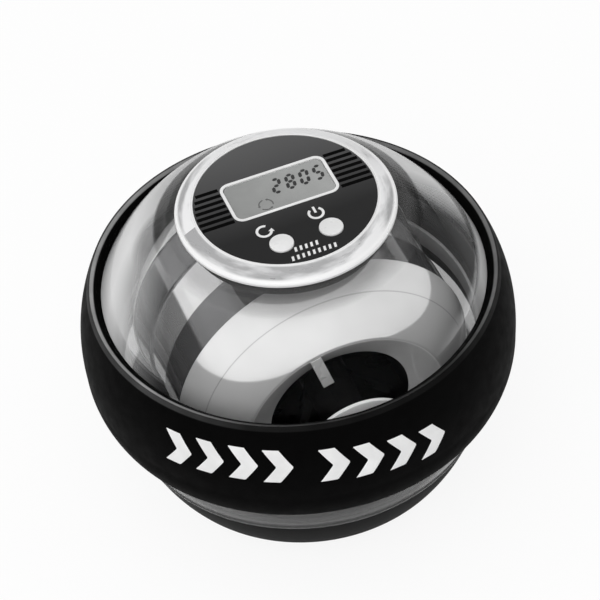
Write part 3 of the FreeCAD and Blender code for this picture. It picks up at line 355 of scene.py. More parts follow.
class NodeSheet:
    """The node tree of a material or the world, with short words for adding and joining nodes.

    Each of its sums gives the socket that holds the result.
    """

    def __init__(self, name: str, shelf: bpy.types.bpy_prop_collection | None = None) -> None:
        """Makes the material or world.

        Args:
            name: its name.
            shelf: the collection that it is made in, or that of the materials.
        """
        self.holder = (bpy.data.materials if shelf is None else shelf).new(name)
        self.holder.use_nodes = True
        self.tree = self.holder.node_tree
        kinds = {node.type: node for node in self.tree.nodes}
        self.shader = kinds.get("BSDF_PRINCIPLED", kinds.get("BACKGROUND"))
        self.output = kinds.get("OUTPUT_MATERIAL", kinds.get("OUTPUT_WORLD"))

    def put(self, socket: Socket, value: object) -> None:
        """Joins an input to a socket, or sets it to a number, a vector or a colour.

        Args:
            socket: the input.
            value: what it gets.
        """
        if isinstance(value, bpy.types.NodeSocket):
            self.tree.links.new(value, socket)
        else:
            socket.default_value = (*value, 1.0) if socket.type == "RGBA" else value

    def add(self, kind: str, feeds: dict[int | str, object] | None = None, **settings: object) -> bpy.types.Node:
        """Adds a node.

        Args:
            kind: the node's type without its prefix.
            feeds: what each named or numbered input gets.
            settings: the node's properties.

        Returns:
            The node.
        """
        node = self.tree.nodes.new("ShaderNode" + kind)
        for key, value in settings.items():
            setattr(node, key, value)
        for key, value in (feeds or {}).items():
            self.put(node.inputs[key], value)
        return node

    def wear(self, **values: object) -> None:
        """Joins or sets the shader's own sockets, named with underscores for blanks."""
        for key, value in values.items():
            self.put(self.shader.inputs[key.replace("_", " ")], value)

    def place(self) -> Socket:
        """The point's place on the object, in metres."""
        return self.add("TexCoord").outputs["Object"]

    def centred(self) -> Socket:
        """The point's place in millimetres from the rotor's centre."""
        feeds = {0: self.place(), 1: (1.0 / MILLIMETRE,) * 3, 2: (0.0, 0.0, -CENTRE_HEIGHT)}
        return self.add("VectorMath", feeds, operation="MULTIPLY_ADD").outputs[0]

    def parts(self) -> tuple[Socket, ...]:
        """How far the point is across, deep and up from the rotor's centre, in millimetres."""
        return tuple(self.add("SeparateXYZ", {0: self.centred()}).outputs)

    def vector(self, kind: str, *feeds: object) -> Socket:
        """The number that the Vector Math node gives for a sum of two places or directions."""
        return self.add("VectorMath", dict(enumerate(feeds)), operation=kind).outputs["Value"]

    def sum(self, kind: str, *values: Value) -> Socket:
        """The number that the Math node gives for a sum of sockets or numbers."""
        return self.add("Math", dict(enumerate(values)), operation=kind).outputs[0]

    def times(self, *values: Value) -> Socket:
        """The product of the values."""
        return reduce(lambda first, second: self.sum("MULTIPLY", first, second), values)

    def most(self, *values: Value) -> Socket:
        """The largest of the values."""
        return reduce(lambda first, second: self.sum("MAXIMUM", first, second), values)

    def other(self, share: Socket) -> Socket:
        """One less a share."""
        return self.sum("SUBTRACT", 1.0, share)

    def length(self, first: Socket, second: Socket) -> Socket:
        """The root of the sum of two squares."""
        return self.sum("SQRT", self.sum("MULTIPLY_ADD", first, first, self.times(second, second)))

    def between(self, value: Socket, low: float, high: float, start: float = 0.0, end: float = 1.0) -> Socket:
        """Carries a value from the range low to high to the range start to end, held at its ends."""
        feeds = {"Value": value, "From Min": low, "From Max": high, "To Min": start, "To Max": end}
        return self.add("MapRange", feeds).outputs["Result"]

    def past(self, value: Socket, edge: float, slope: float = 0.02) -> Socket:
        """One where a value is past an edge and zero before it, with a narrow slope between."""
        return self.between(value, edge - slope, edge + slope)

    def noise(self, scale: float, detail: float, where: Socket | None = None) -> Socket:
        """Noise from zero to one: clouds to a unit of where, or to a metre of the object, and finer layers."""
        feeds = {"Vector": where or self.place(), "Scale": scale, "Detail": detail}
        return self.add("TexNoise", feeds).outputs["Fac"]

    def cloud(self, cloud: Cloud) -> Socket:
        """The value of a cloud on the object."""
        return self.between(self.noise(cloud.scale, cloud.detail), *cloud.cut, cloud.low, cloud.high)

    def ramp(self, value: Socket, stops: Sequence[Point]) -> Socket:
        """A grey that follows a value.

        Args:
            value: the value.
            stops: places and greys.

        Returns:
            The grey.
        """
        node = self.add("ValToRGB", {0: value})
        band = node.color_ramp.elements
        while len(band) < len(stops):
            band.new(0.5)
        for element, (where, tone) in zip(band, stops):
            element.position = where
            element.color = (tone, tone, tone, 1.0)
        return node.outputs["Color"]

    def mix(self, share: Value, first: object, second: object, way: str = "MIX") -> Socket:
        """Mixes a share of the second colour into the first, in a way that the Mix node names."""
        feeds = {0: share, 6: first, 7: second}
        return self.add("Mix", feeds, data_type="RGBA", blend_type=way).outputs[2]

    def bump(self, height: Socket, strength: float, depth: float) -> None:
        """Gives the surface a fine relief from a height, with a strength and a depth in millimetres."""
        feeds = {"Height": height, "Strength": strength, "Distance": depth * MILLIMETRE}
        self.wear(Normal=self.add("Bump", feeds).outputs["Normal"])

    def grain(self, rough: Cloud, relief: Point, where: Socket | None = None) -> Socket:
        """Roughness and a fine relief from the same noise.

        Args:
            rough: the roughness.
            relief: the relief's strength and depth.
            where: the place the noise is read at, or the object's own.

        Returns:
            The noise.
        """
        marks = self.noise(rough.scale, rough.detail, where)
        self.wear(Roughness=self.between(marks, *rough.cut, rough.low, rough.high))
        self.bump(marks, *relief)
        return marks


def grey(value: float) -> Shade:
    """A plain grey."""
    return (value, value, value)


@dataclass(frozen=True)
class Finish:
    """A finish, which paints a node sheet of its own."""

    name: str

    def build(self) -> bpy.types.Material:
        """The finish's material.

        Returns:
            The material.
        """
        sheet = NodeSheet(self.name)
        self.paint(sheet)
        return sheet.holder

    def paint(self, sheet: NodeSheet) -> None:
        """Left to each kind of finish."""
        raise NotImplementedError(self.name)


@dataclass(frozen=True)
class ClearPlastic(Finish):
    """Polished clear plastic that mirrors towards its edges, where a painted glow lies too, and is smoky below a
    height.

    The painted glow is a pale plain coat that stands in for light bent and reflected within the wall.
    What shows of it is a mirror, except where the painted glow, smoke or the painted shade under the bezel makes it
    plain.
    """

    tone: Shade = (0.9, 0.905, 0.91)
    face_share: float = 0.004
    edge_share: float = 0.6
    edge_power: float = 5.0
    # Painted glow: a pale plain coat towards the edges that stands in for light bent and reflected within the wall.
    painted_glow: Shade = (0.92, 0.92, 0.92)
    painted_glow_share: float = 0.0
    painted_glow_start: float = 0.24
    painted_glow_end: float = 0.62
    painted_glow_cloud: Cloud = Cloud(28.0, 2.0, 0.75, 1.1)
    painted_glow_plain: float = 1.4
    least_plain: float = 0.0
    least_share: float = 0.0
    clear_within: float = 0.0
    clear_slope: float = 0.05
    gloss: float = 0.5
    smoke: Shade = (0.02, 0.02, 0.021)
    smoke_share: float = 0.8
    smoke_below: float = -99.0
    smoke_rough: float = 0.5
    smoke_slope: float = 0.3
    polish: Cloud = Cloud(90.0, 3.0, 0.012, 0.048, (0.3, 0.8))
    wave_scale: float = 45.0
    waves: Point = (0.04, 0.3)
    # Painted shade on the neck under the bezel: a darker grey that grows upwards to the bezel.
    painted_neck_shade: Shade = (0.12, 0.12, 0.12)
    painted_neck_shade_above: float = 99.0
    painted_neck_shade_slope: float = 1.6
    painted_neck_shade_share: float = 0.36
    painted_neck_shade_grey: float = 0.1
    # Where the painted glow is kept on each side, as painted light, and a painted shade spot that thins it.
    sides: Span = (-4.0, 12.0, 0.0, 1.0)
    left_up: Span = (22.5, 27.5, 1.0, 0.64)
    right_up: Span = (15.6, 17.4, 1.0, 0.1)
    right_back: Span = (-7.0, 3.0, 0.1, 0.9)
    shade_spot: Point3 = (-20.5, 6.0, 26.0)
    shade_round: Span = (2.5, 5.5, 0.75, 1.0)

    def painted_glow_aside(self, sheet: NodeSheet) -> Socket:
        """How much of the painted glow each side of the ball keeps, as the photograph's sides differ: painted light
        that follows where light falls.

        On the left it thins out upwards, and less of it lies round a painted shade spot. On the right it lies low
        down and towards the rear.

        Args:
            sheet: the finish's sheet.

        Returns:
            The share that is kept.
        """
        across, deep, up = sheet.parts()
        left = sheet.between(up, *self.left_up)
        right = sheet.most(sheet.between(up, *self.right_up), sheet.between(deep, *self.right_back))
        more = sheet.times(sheet.between(across, *self.sides), sheet.sum("SUBTRACT", right, left))
        away = sheet.vector("DISTANCE", sheet.centred(), self.shade_spot)
        return sheet.times(sheet.sum("ADD", left, more), sheet.between(away, *self.shade_round))

    def paint(self, sheet: NodeSheet) -> None:
        """Joins a mirror whose alpha grows as the facing angle's power, over clear, with its painted glow and the
        painted shade under the bezel.

        The wall's inner face is left clear, as a thick clear wall shows one edge only.

        Args:
            sheet: the finish's sheet.
        """
        up = sheet.parts()[2]
        facing = sheet.add("LayerWeight", {"Blend": 0.5}).outputs["Facing"]
        edge = sheet.sum("POWER", facing, self.edge_power)
        mirror = sheet.sum("MULTIPLY_ADD", edge, self.edge_share, self.face_share)
        smoke = sheet.other(sheet.past(up, self.smoke_below, self.smoke_slope))
        # Painted glow towards the edges, kept by side as painted light, and none where the plastic is smoky.
        glow_mask = sheet.times(sheet.between(facing, self.painted_glow_start, self.painted_glow_end), sheet.cloud(self.painted_glow_cloud),
                           self.painted_glow_aside(sheet), self.painted_glow_share, sheet.other(smoke))
        # Painted shade under the bezel, growing up the neck.
        painted_neck_shade = sheet.between(up, self.painted_neck_shade_above - self.painted_neck_shade_slope, self.painted_neck_shade_above, 0.0, self.painted_neck_shade_share)
        painted_neck_shaded = sheet.between(painted_neck_shade, 0.0, self.painted_neck_shade_grey)
        glow_plain = sheet.sum("MINIMUM", sheet.times(glow_mask, self.painted_glow_plain), 1.0)
        plain = sheet.most(smoke, glow_plain, self.least_plain, painted_neck_shaded)
        tone = sheet.mix(painted_neck_shaded, sheet.mix(glow_mask, self.tone, self.painted_glow), self.painted_neck_shade)
        alpha = sheet.most(mirror, glow_mask, sheet.times(smoke, self.smoke_share), self.least_share, painted_neck_shade)
        away = sheet.vector("LENGTH", sheet.centred())
        sheet.wear(Base_Color=sheet.mix(smoke, tone, self.smoke), Metallic=sheet.other(plain),
                   Alpha=sheet.times(alpha, sheet.past(away, self.clear_within, self.clear_slope)),
                   Roughness=sheet.most(sheet.cloud(self.polish), sheet.times(smoke, self.smoke_rough)),
                   Specular_IOR_Level=self.gloss)
        sheet.bump(sheet.noise(self.wave_scale, 1.0), *self.waves)


@dataclass(frozen=True)
class GripRubber(Finish):
    """Matt soft rubber with a fine stipple and a paler lip, whose grey is partly a moulded lip and partly a painted
    highlight.
    """

    body: Shade = (0.0012, 0.0012, 0.0012)
    # The lip's grey is partly a painted highlight where the rim catches light.
    lip: Shade = (0.3, 0.3, 0.3)
    lip_height: float = 14.3
    lip_out: float = 33.0
    lip_end: float = 33.62
    lip_slope: float = 0.1
    lip_rim: float = 0.15
    gloss: float = 0.02
    stipple: float = 3200.0
    relief: Point = (0.22, 0.05)
    # Painted light on the lip: full on the left, halved on the right, and dimmed at the front as painted shade.
    lip_painted_light_left: Span = (-30.0, 0.0, 1.0, 0.5)
    lip_painted_shade_front: Span = (-30.0, -18.0, 0.2, 1.0)
    worn: Cloud = Cloud(240.0, 5.0, 0.85, 1.25, (0.35, 0.75))
    rough: Cloud = Cloud(500.0, 2.0, 0.5, 0.66, (0.2, 0.8))

    def paint(self, sheet: NodeSheet) -> None:
        """Joins black rubber, grey where the lip stands above its height and beyond its distance.

        The lip's grey fades at the rim; as painted light it also fades towards the right and at the front.

        Args:
            sheet: the finish's sheet.
        """
        across, deep, up = sheet.parts()
        out = sheet.length(across, deep)
        high, far = sheet.past(up, self.lip_height, self.lip_slope), sheet.past(out, self.lip_out, self.lip_slope)
        # The lip's grey, partly a painted highlight, dimmed as painted light towards the right and at the front.
        lip = sheet.times(high, far, sheet.between(out, self.lip_end - self.lip_slope, self.lip_end, 1.0, self.lip_rim),
                          sheet.between(across, *self.lip_painted_light_left), sheet.between(deep, *self.lip_painted_shade_front))
        tone = sheet.mix(lip, self.body, self.lip)
        sheet.wear(Base_Color=sheet.mix(1.0, tone, sheet.cloud(self.worn), "MULTIPLY"),
                   Roughness=sheet.cloud(self.rough), Specular_IOR_Level=self.gloss)
        sheet.bump(sheet.noise(self.stipple, 1.0), *self.relief)


@dataclass(frozen=True)
class EvenFinish(Finish):
    """One shade all over, slightly cloudy, with a fine grain."""

    shade: Shade
    rough: float

    def spread(self, sheet: NodeSheet, dim: float, scale: float, rough: Cloud, relief: Point) -> None:
        """Joins the cloudy shade and the grain.

        Args:
            sheet: the finish's sheet.
            dim: how dark the clouds are.
            scale: how many there are to a metre.
            rough: the roughness, as shares of the finish's own.
            relief: the grain's strength and depth.
        """
        clouds = sheet.cloud(Cloud(scale, 3.0, 0.0, 1.0, (0.35, 0.7)))
        sheet.wear(Base_Color=sheet.mix(clouds, tuple(c * dim for c in self.shade), self.shade))
        own = Cloud(rough.scale, rough.detail, rough.low * self.rough, rough.high * self.rough, rough.cut)
        sheet.grain(own, relief)


@dataclass(frozen=True)
class PlatedMetal(EvenFinish):
    """Bright plated metal."""

    def paint(self, sheet: NodeSheet) -> None:
        """Joins metal with a cloudy tone and faint marks."""
        sheet.wear(Metallic=1.0)
        self.spread(sheet, dim=0.9, scale=300.0, rough=Cloud(1800.0, 3.0, 0.7, 1.4), relief=(0.03, 0.02))


@dataclass(frozen=True)
class MouldedPlastic(EvenFinish):
    """Opaque moulded plastic with a fine grain."""

    grain: float = 1800.0
    relief: float = 0.15
    gloss: float = 0.5

    def paint(self, sheet: NodeSheet) -> None:
        """Joins plastic with slight cloudiness and an even grain.

        Args:
            sheet: the finish's sheet.
        """
        sheet.wear(Specular_IOR_Level=self.gloss)
        rough = Cloud(self.grain, 2.0, 0.85, 1.15, (0.25, 0.75))
        self.spread(sheet, dim=0.88, scale=260.0, rough=rough, relief=(self.relief, 0.03))


@dataclass(frozen=True)
class RotorChrome(Finish):
    """Plated rotor whose zones differ in tone as painted reflections: belt, drum, dish and cone; the recess is painted
    black as shade.
    """

    # Painted reflections: a light belt, a dark drum and a white dish; the recess black is painted shade.
    belt: Shade = (0.85, 0.85, 0.855)
    drum: Shade = (0.24, 0.24, 0.244)
    dish: Shade = (0.87, 0.87, 0.87)
    recess: Shade = (0.004, 0.004, 0.004)
    belt_edge: float = 3.95
    drum_edge: float = 11.42
    recess_radius: float = 12.2
    recess_end: float = 18.4
    cone_radius: float = 17.4
    # A painted shade line along the dish's crease.
    crease_shade: float = 16.5
    crease_shade_half: Point = (0.05, 0.12)
    crease_shade_tone: float = 0.72
    clouds: Cloud = Cloud(160.0, 2.0, 0.95, 1.03)
    polish: Cloud = Cloud(240.0, 2.0, 0.056, 0.084)
    dish_rough: float = 0.02
    recess_rough: float = 0.5
    drum_metal: float = 0.75
    dish_metal: float = 0.5
    cone_metal: float = 0.5
    gloss: float = 0.15

    def paint(self, sheet: NodeSheet) -> None:
        """Joins zones set by the distance along the axle and from it, as painted reflections and painted shade, with a
        painted shade line along the dish's crease.

        Args:
            sheet: the finish's sheet.
        """
        across, deep, up = sheet.parts()
        along, out = sheet.sum("ABSOLUTE", deep), sheet.length(across, up)
        dished = sheet.past(along, self.drum_edge)
        inside = sheet.times(sheet.other(sheet.past(out, self.recess_radius)),
                             sheet.other(sheet.past(along, self.recess_end)))
        # Painted reflection bands along the axle, and painted shade in the recess.
        tone = sheet.mix(sheet.past(along, self.belt_edge), self.belt, self.drum)
        tone = sheet.mix(inside, sheet.mix(dished, tone, self.dish), self.recess)
        # Painted shade line along the crease.
        off = sheet.sum("ABSOLUTE", sheet.sum("SUBTRACT", along, self.crease_shade))
        shade = sheet.times(sheet.between(off, *self.crease_shade_half, self.crease_shade_tone, 1.0), sheet.cloud(self.clouds))
        # The cone and dish are less metallic, so that their pale tone shows as a painted reflection.
        cone = sheet.times(sheet.other(sheet.past(out, self.cone_radius)), dished)
        metal = sheet.times(sheet.between(dished, 0.0, 1.0, self.drum_metal, self.dish_metal),
                            sheet.between(cone, 0.0, 1.0, 1.0, self.cone_metal), sheet.other(inside))
        rough = sheet.sum("MULTIPLY_ADD", dished, self.dish_rough, sheet.cloud(self.polish))
        sheet.wear(Base_Color=sheet.mix(1.0, tone, shade, "MULTIPLY"), Metallic=metal, Specular_IOR_Level=self.gloss,
                   Roughness=sheet.sum("MULTIPLY_ADD", inside, self.recess_rough, rough))


@dataclass(frozen=True)
class TippedMetal(Finish):
    """Metal painted black as shade deep in the rotor, and bright past a place along the axle as a painted highlight, as
    the ribs' edges and hub discs are.
    """

    # The dark shade is painted shade and the bright one a painted highlight.
    dark: Shade
    bright: Shade
    edge: float
    metal: float
    rough: Cloud
    gloss: float = 0.5
    clouds: Cloud = Cloud(200.0, 2.0, 1.0, 1.0)
    relief: Point = (0.01, 0.02)

    def paint(self, sheet: NodeSheet) -> None:
        """Joins the dark and bright shades, painted shade and painted highlight, where the distance along the axle
        passes the edge.

        Args:
            sheet: the finish's sheet.
        """
        past = sheet.past(sheet.sum("ABSOLUTE", sheet.parts()[1]), self.edge)
        tone = sheet.mix(1.0, sheet.mix(past, self.dark, self.bright), sheet.cloud(self.clouds), "MULTIPLY")
        sheet.wear(Base_Color=tone, Metallic=sheet.times(past, self.metal), Specular_IOR_Level=self.gloss)
        sheet.grain(self.rough, self.relief)


@dataclass(frozen=True)
class SatinMetal(Finish):
    """Soft silver ring round the upright axis, with painted highlights on its crest and lip."""

    shade: Shade = (0.88, 0.88, 0.885)
    # The streak tone is partly brushed grain and partly painted reflection; the edge tone is a painted highlight.
    streak_and_reflection: Shade = (0.4, 0.4, 0.405)
    edge: Shade = (0.93, 0.93, 0.93)
    crest: Point = (15.1, 15.35)
    lip: Point = (17.05, 17.4)
    metal: float = 0.35
    stretch: float = 4.0
    # Painted reflection sweeps: slow sectors of lighter and darker silver round the ring.
    painted_sweep: float = 0.15
    painted_sweep_cut: Point = (0.46, 0.54)
    painted_sweep_share: float = 0.16
    bands: Point = (0.46, 0.66)
    relief: Point = (0.05, 0.03)
    rough: Cloud = Cloud(0.42, 4.0, 0.225, 0.39, (0.25, 0.75))

    def paint(self, sheet: NodeSheet) -> None:
        """Joins silver whose streaks run round the ring, partly brushed grain and partly painted reflection sweeps,
        with painted highlights inside the crest and outside the lip.

        The noise is read at the angle round the ring, the distance from its axis and the height.

        Args:
            sheet: the finish's sheet.
        """
        across, deep, up = sheet.parts()
        out = sheet.length(across, deep)
        turn = sheet.times(sheet.sum("ARCTAN2", deep, across), self.stretch)
        around = sheet.add("CombineXYZ", {0: turn, 1: out, 2: sheet.sum("ADD", up, CENTRE_HEIGHT)}).outputs[0]
        marks = sheet.grain(self.rough, self.relief, around)
        # Painted reflection sweeps round the ring, added to the grain.
        painted_sweep = sheet.between(sheet.noise(self.painted_sweep, 0.0, around), *self.painted_sweep_cut)
        bands = sheet.sum("MULTIPLY_ADD", painted_sweep, self.painted_sweep_share, marks)
        tone = sheet.mix(sheet.between(bands, *self.bands), self.streak_and_reflection, self.shade)
        # Painted highlights inside the crest and outside the lip.
        inner, outer = sheet.other(sheet.between(out, *self.crest)), sheet.between(out, *self.lip)
        sheet.wear(Base_Color=sheet.mix(sheet.most(inner, outer), tone, self.edge), Metallic=self.metal)


@dataclass(frozen=True)
class CounterFace(Finish):
    """Glossy dark face, paler towards the rear as a painted reflection, whose grooves are painted black as shade."""

    shade: Shade = (0.028, 0.028, 0.0284)
    # The upper tone is a painted reflection that pales the face towards the rear.
    upper: Shade = (0.105, 0.105, 0.106)
    # Painted shade: the grooves are black.
    groove_shade: Shade = (0.0, 0.0, 0.0)
    level: Point = (31.21, 31.27)
    rise: Point = (-4.0, 16.0)
    rise_drift: float = 4.0
    groove_rough: float = 0.9
    gloss: float = 0.6
    polish: Cloud = Cloud(900.0, 3.0, 0.048, 0.078)
    relief: Point = (0.015, 0.02)

    def paint(self, sheet: NodeSheet) -> None:
        """Joins dark plastic under a gloss, paler towards the rear as a painted reflection, and black below the face's
        own level as painted shade in the grooves.

        Args:
            sheet: the finish's sheet.
        """
        _, deep, up = sheet.parts()
        level = sheet.between(up, *self.level)
        # Painted reflection: paler towards the rear, with a cloudy edge.
        drift = sheet.sum("MULTIPLY_ADD", sheet.noise(60.0, 2.0), self.rise_drift, deep)
        rise = sheet.between(drift, *self.rise)
        # Painted shade in the grooves: black and matt below the face's own level.
        matt = sheet.times(sheet.other(level), self.groove_rough)
        sheet.wear(Base_Color=sheet.mix(level, self.groove_shade, sheet.mix(rise, self.shade, self.upper)),
                   Roughness=sheet.most(sheet.cloud(self.polish), matt), Specular_IOR_Level=self.gloss)
        sheet.bump(sheet.noise(1500.0, 2.0), *self.relief)


@dataclass(frozen=True)
class DisplayGlass(Finish):
    """Grey display panel, a little lighter towards one side, with a fine cell structure."""

    near: Shade = (0.27, 0.275, 0.27)
    far: Shade = (0.37, 0.375, 0.37)
    lean: float = 0.6
    reach: Point = (-9.0, 11.0)
    clouds: Cloud = Cloud(350.0, 3.0, 0.94, 1.05)
    rough: Cloud = Cloud(1200.0, 3.0, 0.3, 0.42)

    def paint(self, sheet: NodeSheet) -> None:
        """Joins grey glass that pales from the lower left to the upper right.

        Args:
            sheet: the finish's sheet.
        """
        across, deep, _ = sheet.parts()
        slope = sheet.between(sheet.sum("MULTIPLY_ADD", deep, self.lean, across), *self.reach)
        tone = sheet.mix(1.0, sheet.mix(slope, self.near, self.far), sheet.cloud(self.clouds), "MULTIPLY")
        sheet.wear(Base_Color=tone, Roughness=sheet.cloud(self.rough))


@dataclass(frozen=True)
class PrintedBoard(Finish):
    """Lacquered board with thin tracks."""

    lacquer: Shade = (0.02, 0.1, 0.045)
    track: Shade = (0.05, 0.2, 0.09)
    cells: float = 420.0
    track_half: Point = (0.05, 0.09)
    relief: Point = (0.1, 0.04)
    rough: Cloud = Cloud(700.0, 3.0, 0.3, 0.45)

    def paint(self, sheet: NodeSheet) -> None:
        """Joins green lacquer over tracks that follow the borders of a cell noise.

        Args:
            sheet: the finish's sheet.
        """
        cells = sheet.add("TexVoronoi", {"Vector": sheet.place(), "Scale": self.cells}, feature="DISTANCE_TO_EDGE")
        share = sheet.between(cells.outputs["Distance"], *self.track_half)
        sheet.wear(Base_Color=sheet.mix(share, self.track, self.lacquer), Roughness=sheet.cloud(self.rough))
        sheet.bump(share, *self.relief)


class Workshop:
    """Hands out finishes and joins pieces to the frame."""

    def __init__(self, frame: dict) -> None:
        """Opens an empty order book for the frame.
        """
        self.frame = frame
        self.made: dict[str, bpy.types.Material] = {}
        self.pieces = 0

    def material(self, finish: Finish) -> bpy.types.Material:
        """The material of a finish, made once.

        Args:
            finish: the finish.

        Returns:
            The material.
        """
        if finish.name not in self.made:
            self.made[finish.name] = finish.build()
        return self.made[finish.name]

    def dress(self, finish: Finish, *nodes: str) -> None:
        """Gives CAD nodes a finish.

        Args:
            finish: the finish.
            nodes: the nodes' names.
        """
        material = self.material(finish)
        for name in nodes:
            node = self.frame["nodes"][name]
            if not node.material_slots:
                node.data.materials.append(material)
            for place in node.material_slots:
                place.material = material
            LOG.info("node %s wears %s", name, finish.name)

    def fit(self, piece: bpy.types.Object, body: str, slot: str, finish: Finish, *stands_for: str) -> None:
        """Dresses a new piece and joins it to its body.

        Args:
            piece: the piece.
            body: the body that it moves with.
            slot: the record's material slot; not used.
            finish: its finish.
            stands_for: CAD nodes that it replaces.
        """
        piece.data.materials.append(self.material(finish))
        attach(piece, body)
        if stands_for:
            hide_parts(*stands_for)
        self.pieces += 1
        LOG.info("piece %s rides on %s with %d faces", piece.name, body, len(piece.data.polygons))


@dataclass
class Shell:
    """The two clear halves, their neck and bead, the foot ring and the races."""

    outer: float = 35.0
    inner: float = 33.0
    lap: float = 34.05
    lap_gap: float = 0.05
    lap_top: float = 2.2
    lap_bottom: float = 3.0
    flange_top: float = 3.1
    race_out: float = 33.0
    race_height: float = 6.5
    race_inner: float = 30.3
    race_slope: Point = (31.9, 4.6)
    track: Point = (31.7, 1.08)
    track_step: float = 2.0
    collar: float = 34.0
    neck_foot: float = 19.4
    neck: float = 17.5
    neck_base: float = 28.7
    neck_top: float = 29.0
    neck_bore: float = 16.4
    cove: Point = (0.22, 0.11)
    waist: float = 33.6
    waist_top: float = 6.2
    waist_wall: float = 2.0
    seat_end: float = 5.4
    bead: float = 13.4
    bead_half: float = 0.45
    bead_rise: float = 0.35
    base_mid: float = 18.0
    base_edge: float = 22.5
    base_bulges: Point3 = (-0.8, 0.1, -0.2)
    seat: float = 28.2
    foot_out: float = 22.5
    foot_in: float = 17.2
    foot_bevel: float = 0.6
    foot_wall: float = 1.3
    # The dome carries a painted glow towards its edges and painted shade on its neck under the bezel; the cup carries a
    # painted glow above its smoky base.
    clear: ClearPlastic = field(default_factory=lambda: ClearPlastic(
        "clear_dome", painted_glow_share=0.85, clear_within=33.1, painted_neck_shade_above=27.9))
    lower: ClearPlastic = field(default_factory=lambda: ClearPlastic(
        "clear_cup", grey(0.2), painted_glow_share=0.75, painted_glow_start=0.6, painted_glow_end=0.88, least_plain=0.85,
        least_share=0.42, gloss=0.05, smoke=grey(0.004), smoke_below=-13.7, smoke_share=0.98))

    def dome(self) -> bpy.types.Object:
        """The upper half: two sphere arcs joined by the neck above and the lap below.

        Returns:
            The piece.
        """
        foot_up, bore_up = sphere_up(self.outer, self.neck_foot), sphere_up(self.inner, self.neck_bore)
        cove = ((self.neck_foot + self.neck) / 2 - self.cove[0], (foot_up + self.neck_base) / 2 - self.cove[1])
        rows = (
            (self.lap, -self.lap_bottom, EDGE),
            (*on_sphere(self.outer, -self.lap_bottom), EDGE, on_sphere(self.outer, foot_up / 2)),
            (self.neck_foot, foot_up, ROUND, cove),
            (self.neck, self.neck_base, EDGE),
            (self.neck, self.neck_top, FINE),
            (self.neck_bore, self.neck_top, FINE),
            (self.neck_bore, bore_up, FULL, on_sphere(self.inner, (bore_up + self.race_height) / 2)),
            (*on_sphere(self.inner, self.race_height), EDGE),
            (self.race_out, self.race_height, EDGE),
            (self.race_out, self.flange_top, EDGE),
            (self.lap, self.flange_top, EDGE),
        )
        return turned("clear_dome", profile(rows, step=0.9), Axis.UPRIGHT, steps=320)

    def cup(self) -> bpy.types.Object:
        """The lower half: the band's seat, a narrower waist, a bead and a base that swells again.

        Returns:
            The piece.
        """
        top, low, lap = self.bead_half - self.bead, -self.bead_half - self.bead, self.lap - self.lap_gap
        upper, lower, within = self.base_bulges
        rows = (
            (self.race_out, self.lap_top, EDGE),
            (lap, self.lap_top, EDGE),
            (lap, -self.lap_bottom, EDGE),
            (*on_sphere(self.outer, -self.lap_bottom), EDGE,
             on_sphere(self.outer, -(self.lap_bottom + self.seat_end) / 2)),
            (*on_sphere(self.outer, -self.seat_end), SOFT),
            (*on_sphere(self.waist, -self.waist_top), SOFT, on_sphere(self.waist, (top - self.waist_top) / 2)),
            (*on_sphere(self.waist, top), NEAT, on_sphere(self.waist, -self.bead, self.bead_rise)),
            (*on_sphere(self.waist, low), NEAT, on_sphere(self.outer, -self.base_mid, upper)),
            (*on_sphere(self.outer, -self.base_edge), 0.5,
             on_sphere(self.outer, -(self.base_edge + self.seat) / 2, lower)),
            (*on_sphere(self.outer, -self.seat), EDGE),
            (*on_sphere(self.inner, -self.seat), EDGE,
             on_sphere(self.inner, -(self.race_height + self.seat) / 2, within)),
            (*on_sphere(self.waist - self.waist_wall, -self.race_height), EDGE),
            (self.race_out, -self.race_height, EDGE),
        )
        return turned("clear_cup", profile(rows, step=0.6), Axis.UPRIGHT, steps=320)

    def foot(self) -> bpy.types.Object:
        """The foot ring: an L section with rounded edges, turned about the upright axis.

        Returns:
            The piece.
        """
        plug, ground = on_sphere(self.inner, -self.seat, -self.lap_gap)[0], -CENTRE_HEIGHT
        bevel, wall_top = ground + self.foot_bevel, -self.seat + self.foot_wall
        rows = (
            (plug, -self.seat, EDGE), (self.foot_out, -self.seat, SOFT), (self.foot_out, bevel, ROUND),
            (self.foot_out - self.foot_bevel, ground, ROUND), (self.foot_in + self.foot_bevel, ground, ROUND),
            (self.foot_in, bevel, ROUND), (self.foot_in, wall_top, FULL), (plug, wall_top, FULL),
        )
        return turned("foot_tread", profile(rows), Axis.UPRIGHT)

    def race(self, side: int) -> bpy.types.Object:
        """A race: the track's step and the slope above it, turned about the upright axis.

        Args:
            side: 1 for the upper race, which has a collar too, and -1 for the lower one.

        Returns:
            The race.
        """
        (step_in, track), (slope_in, slope_up) = self.track, self.race_slope
        collar = (
            (self.race_out, self.lap_top, CRISP), (self.collar, self.lap_top, FINE),
            (self.collar, self.flange_top, FINE), (self.race_out, self.flange_top, CRISP),
        )
        rows = (
            (step_in, track, FINE), (self.race_out, track, FINE), *(collar if side > 0 else ()),
            (self.race_out, self.race_height, 0.15), (slope_in, self.race_height, ROUND),
            (self.race_inner, slope_up, 0.4), (self.race_inner, self.track_step, NEAT),
            (step_in, self.track_step, NEAT),
        )
        name = "upper_track" if side > 0 else "lower_track"
        return turned(name, profile(rows, side=side), Axis.UPRIGHT)

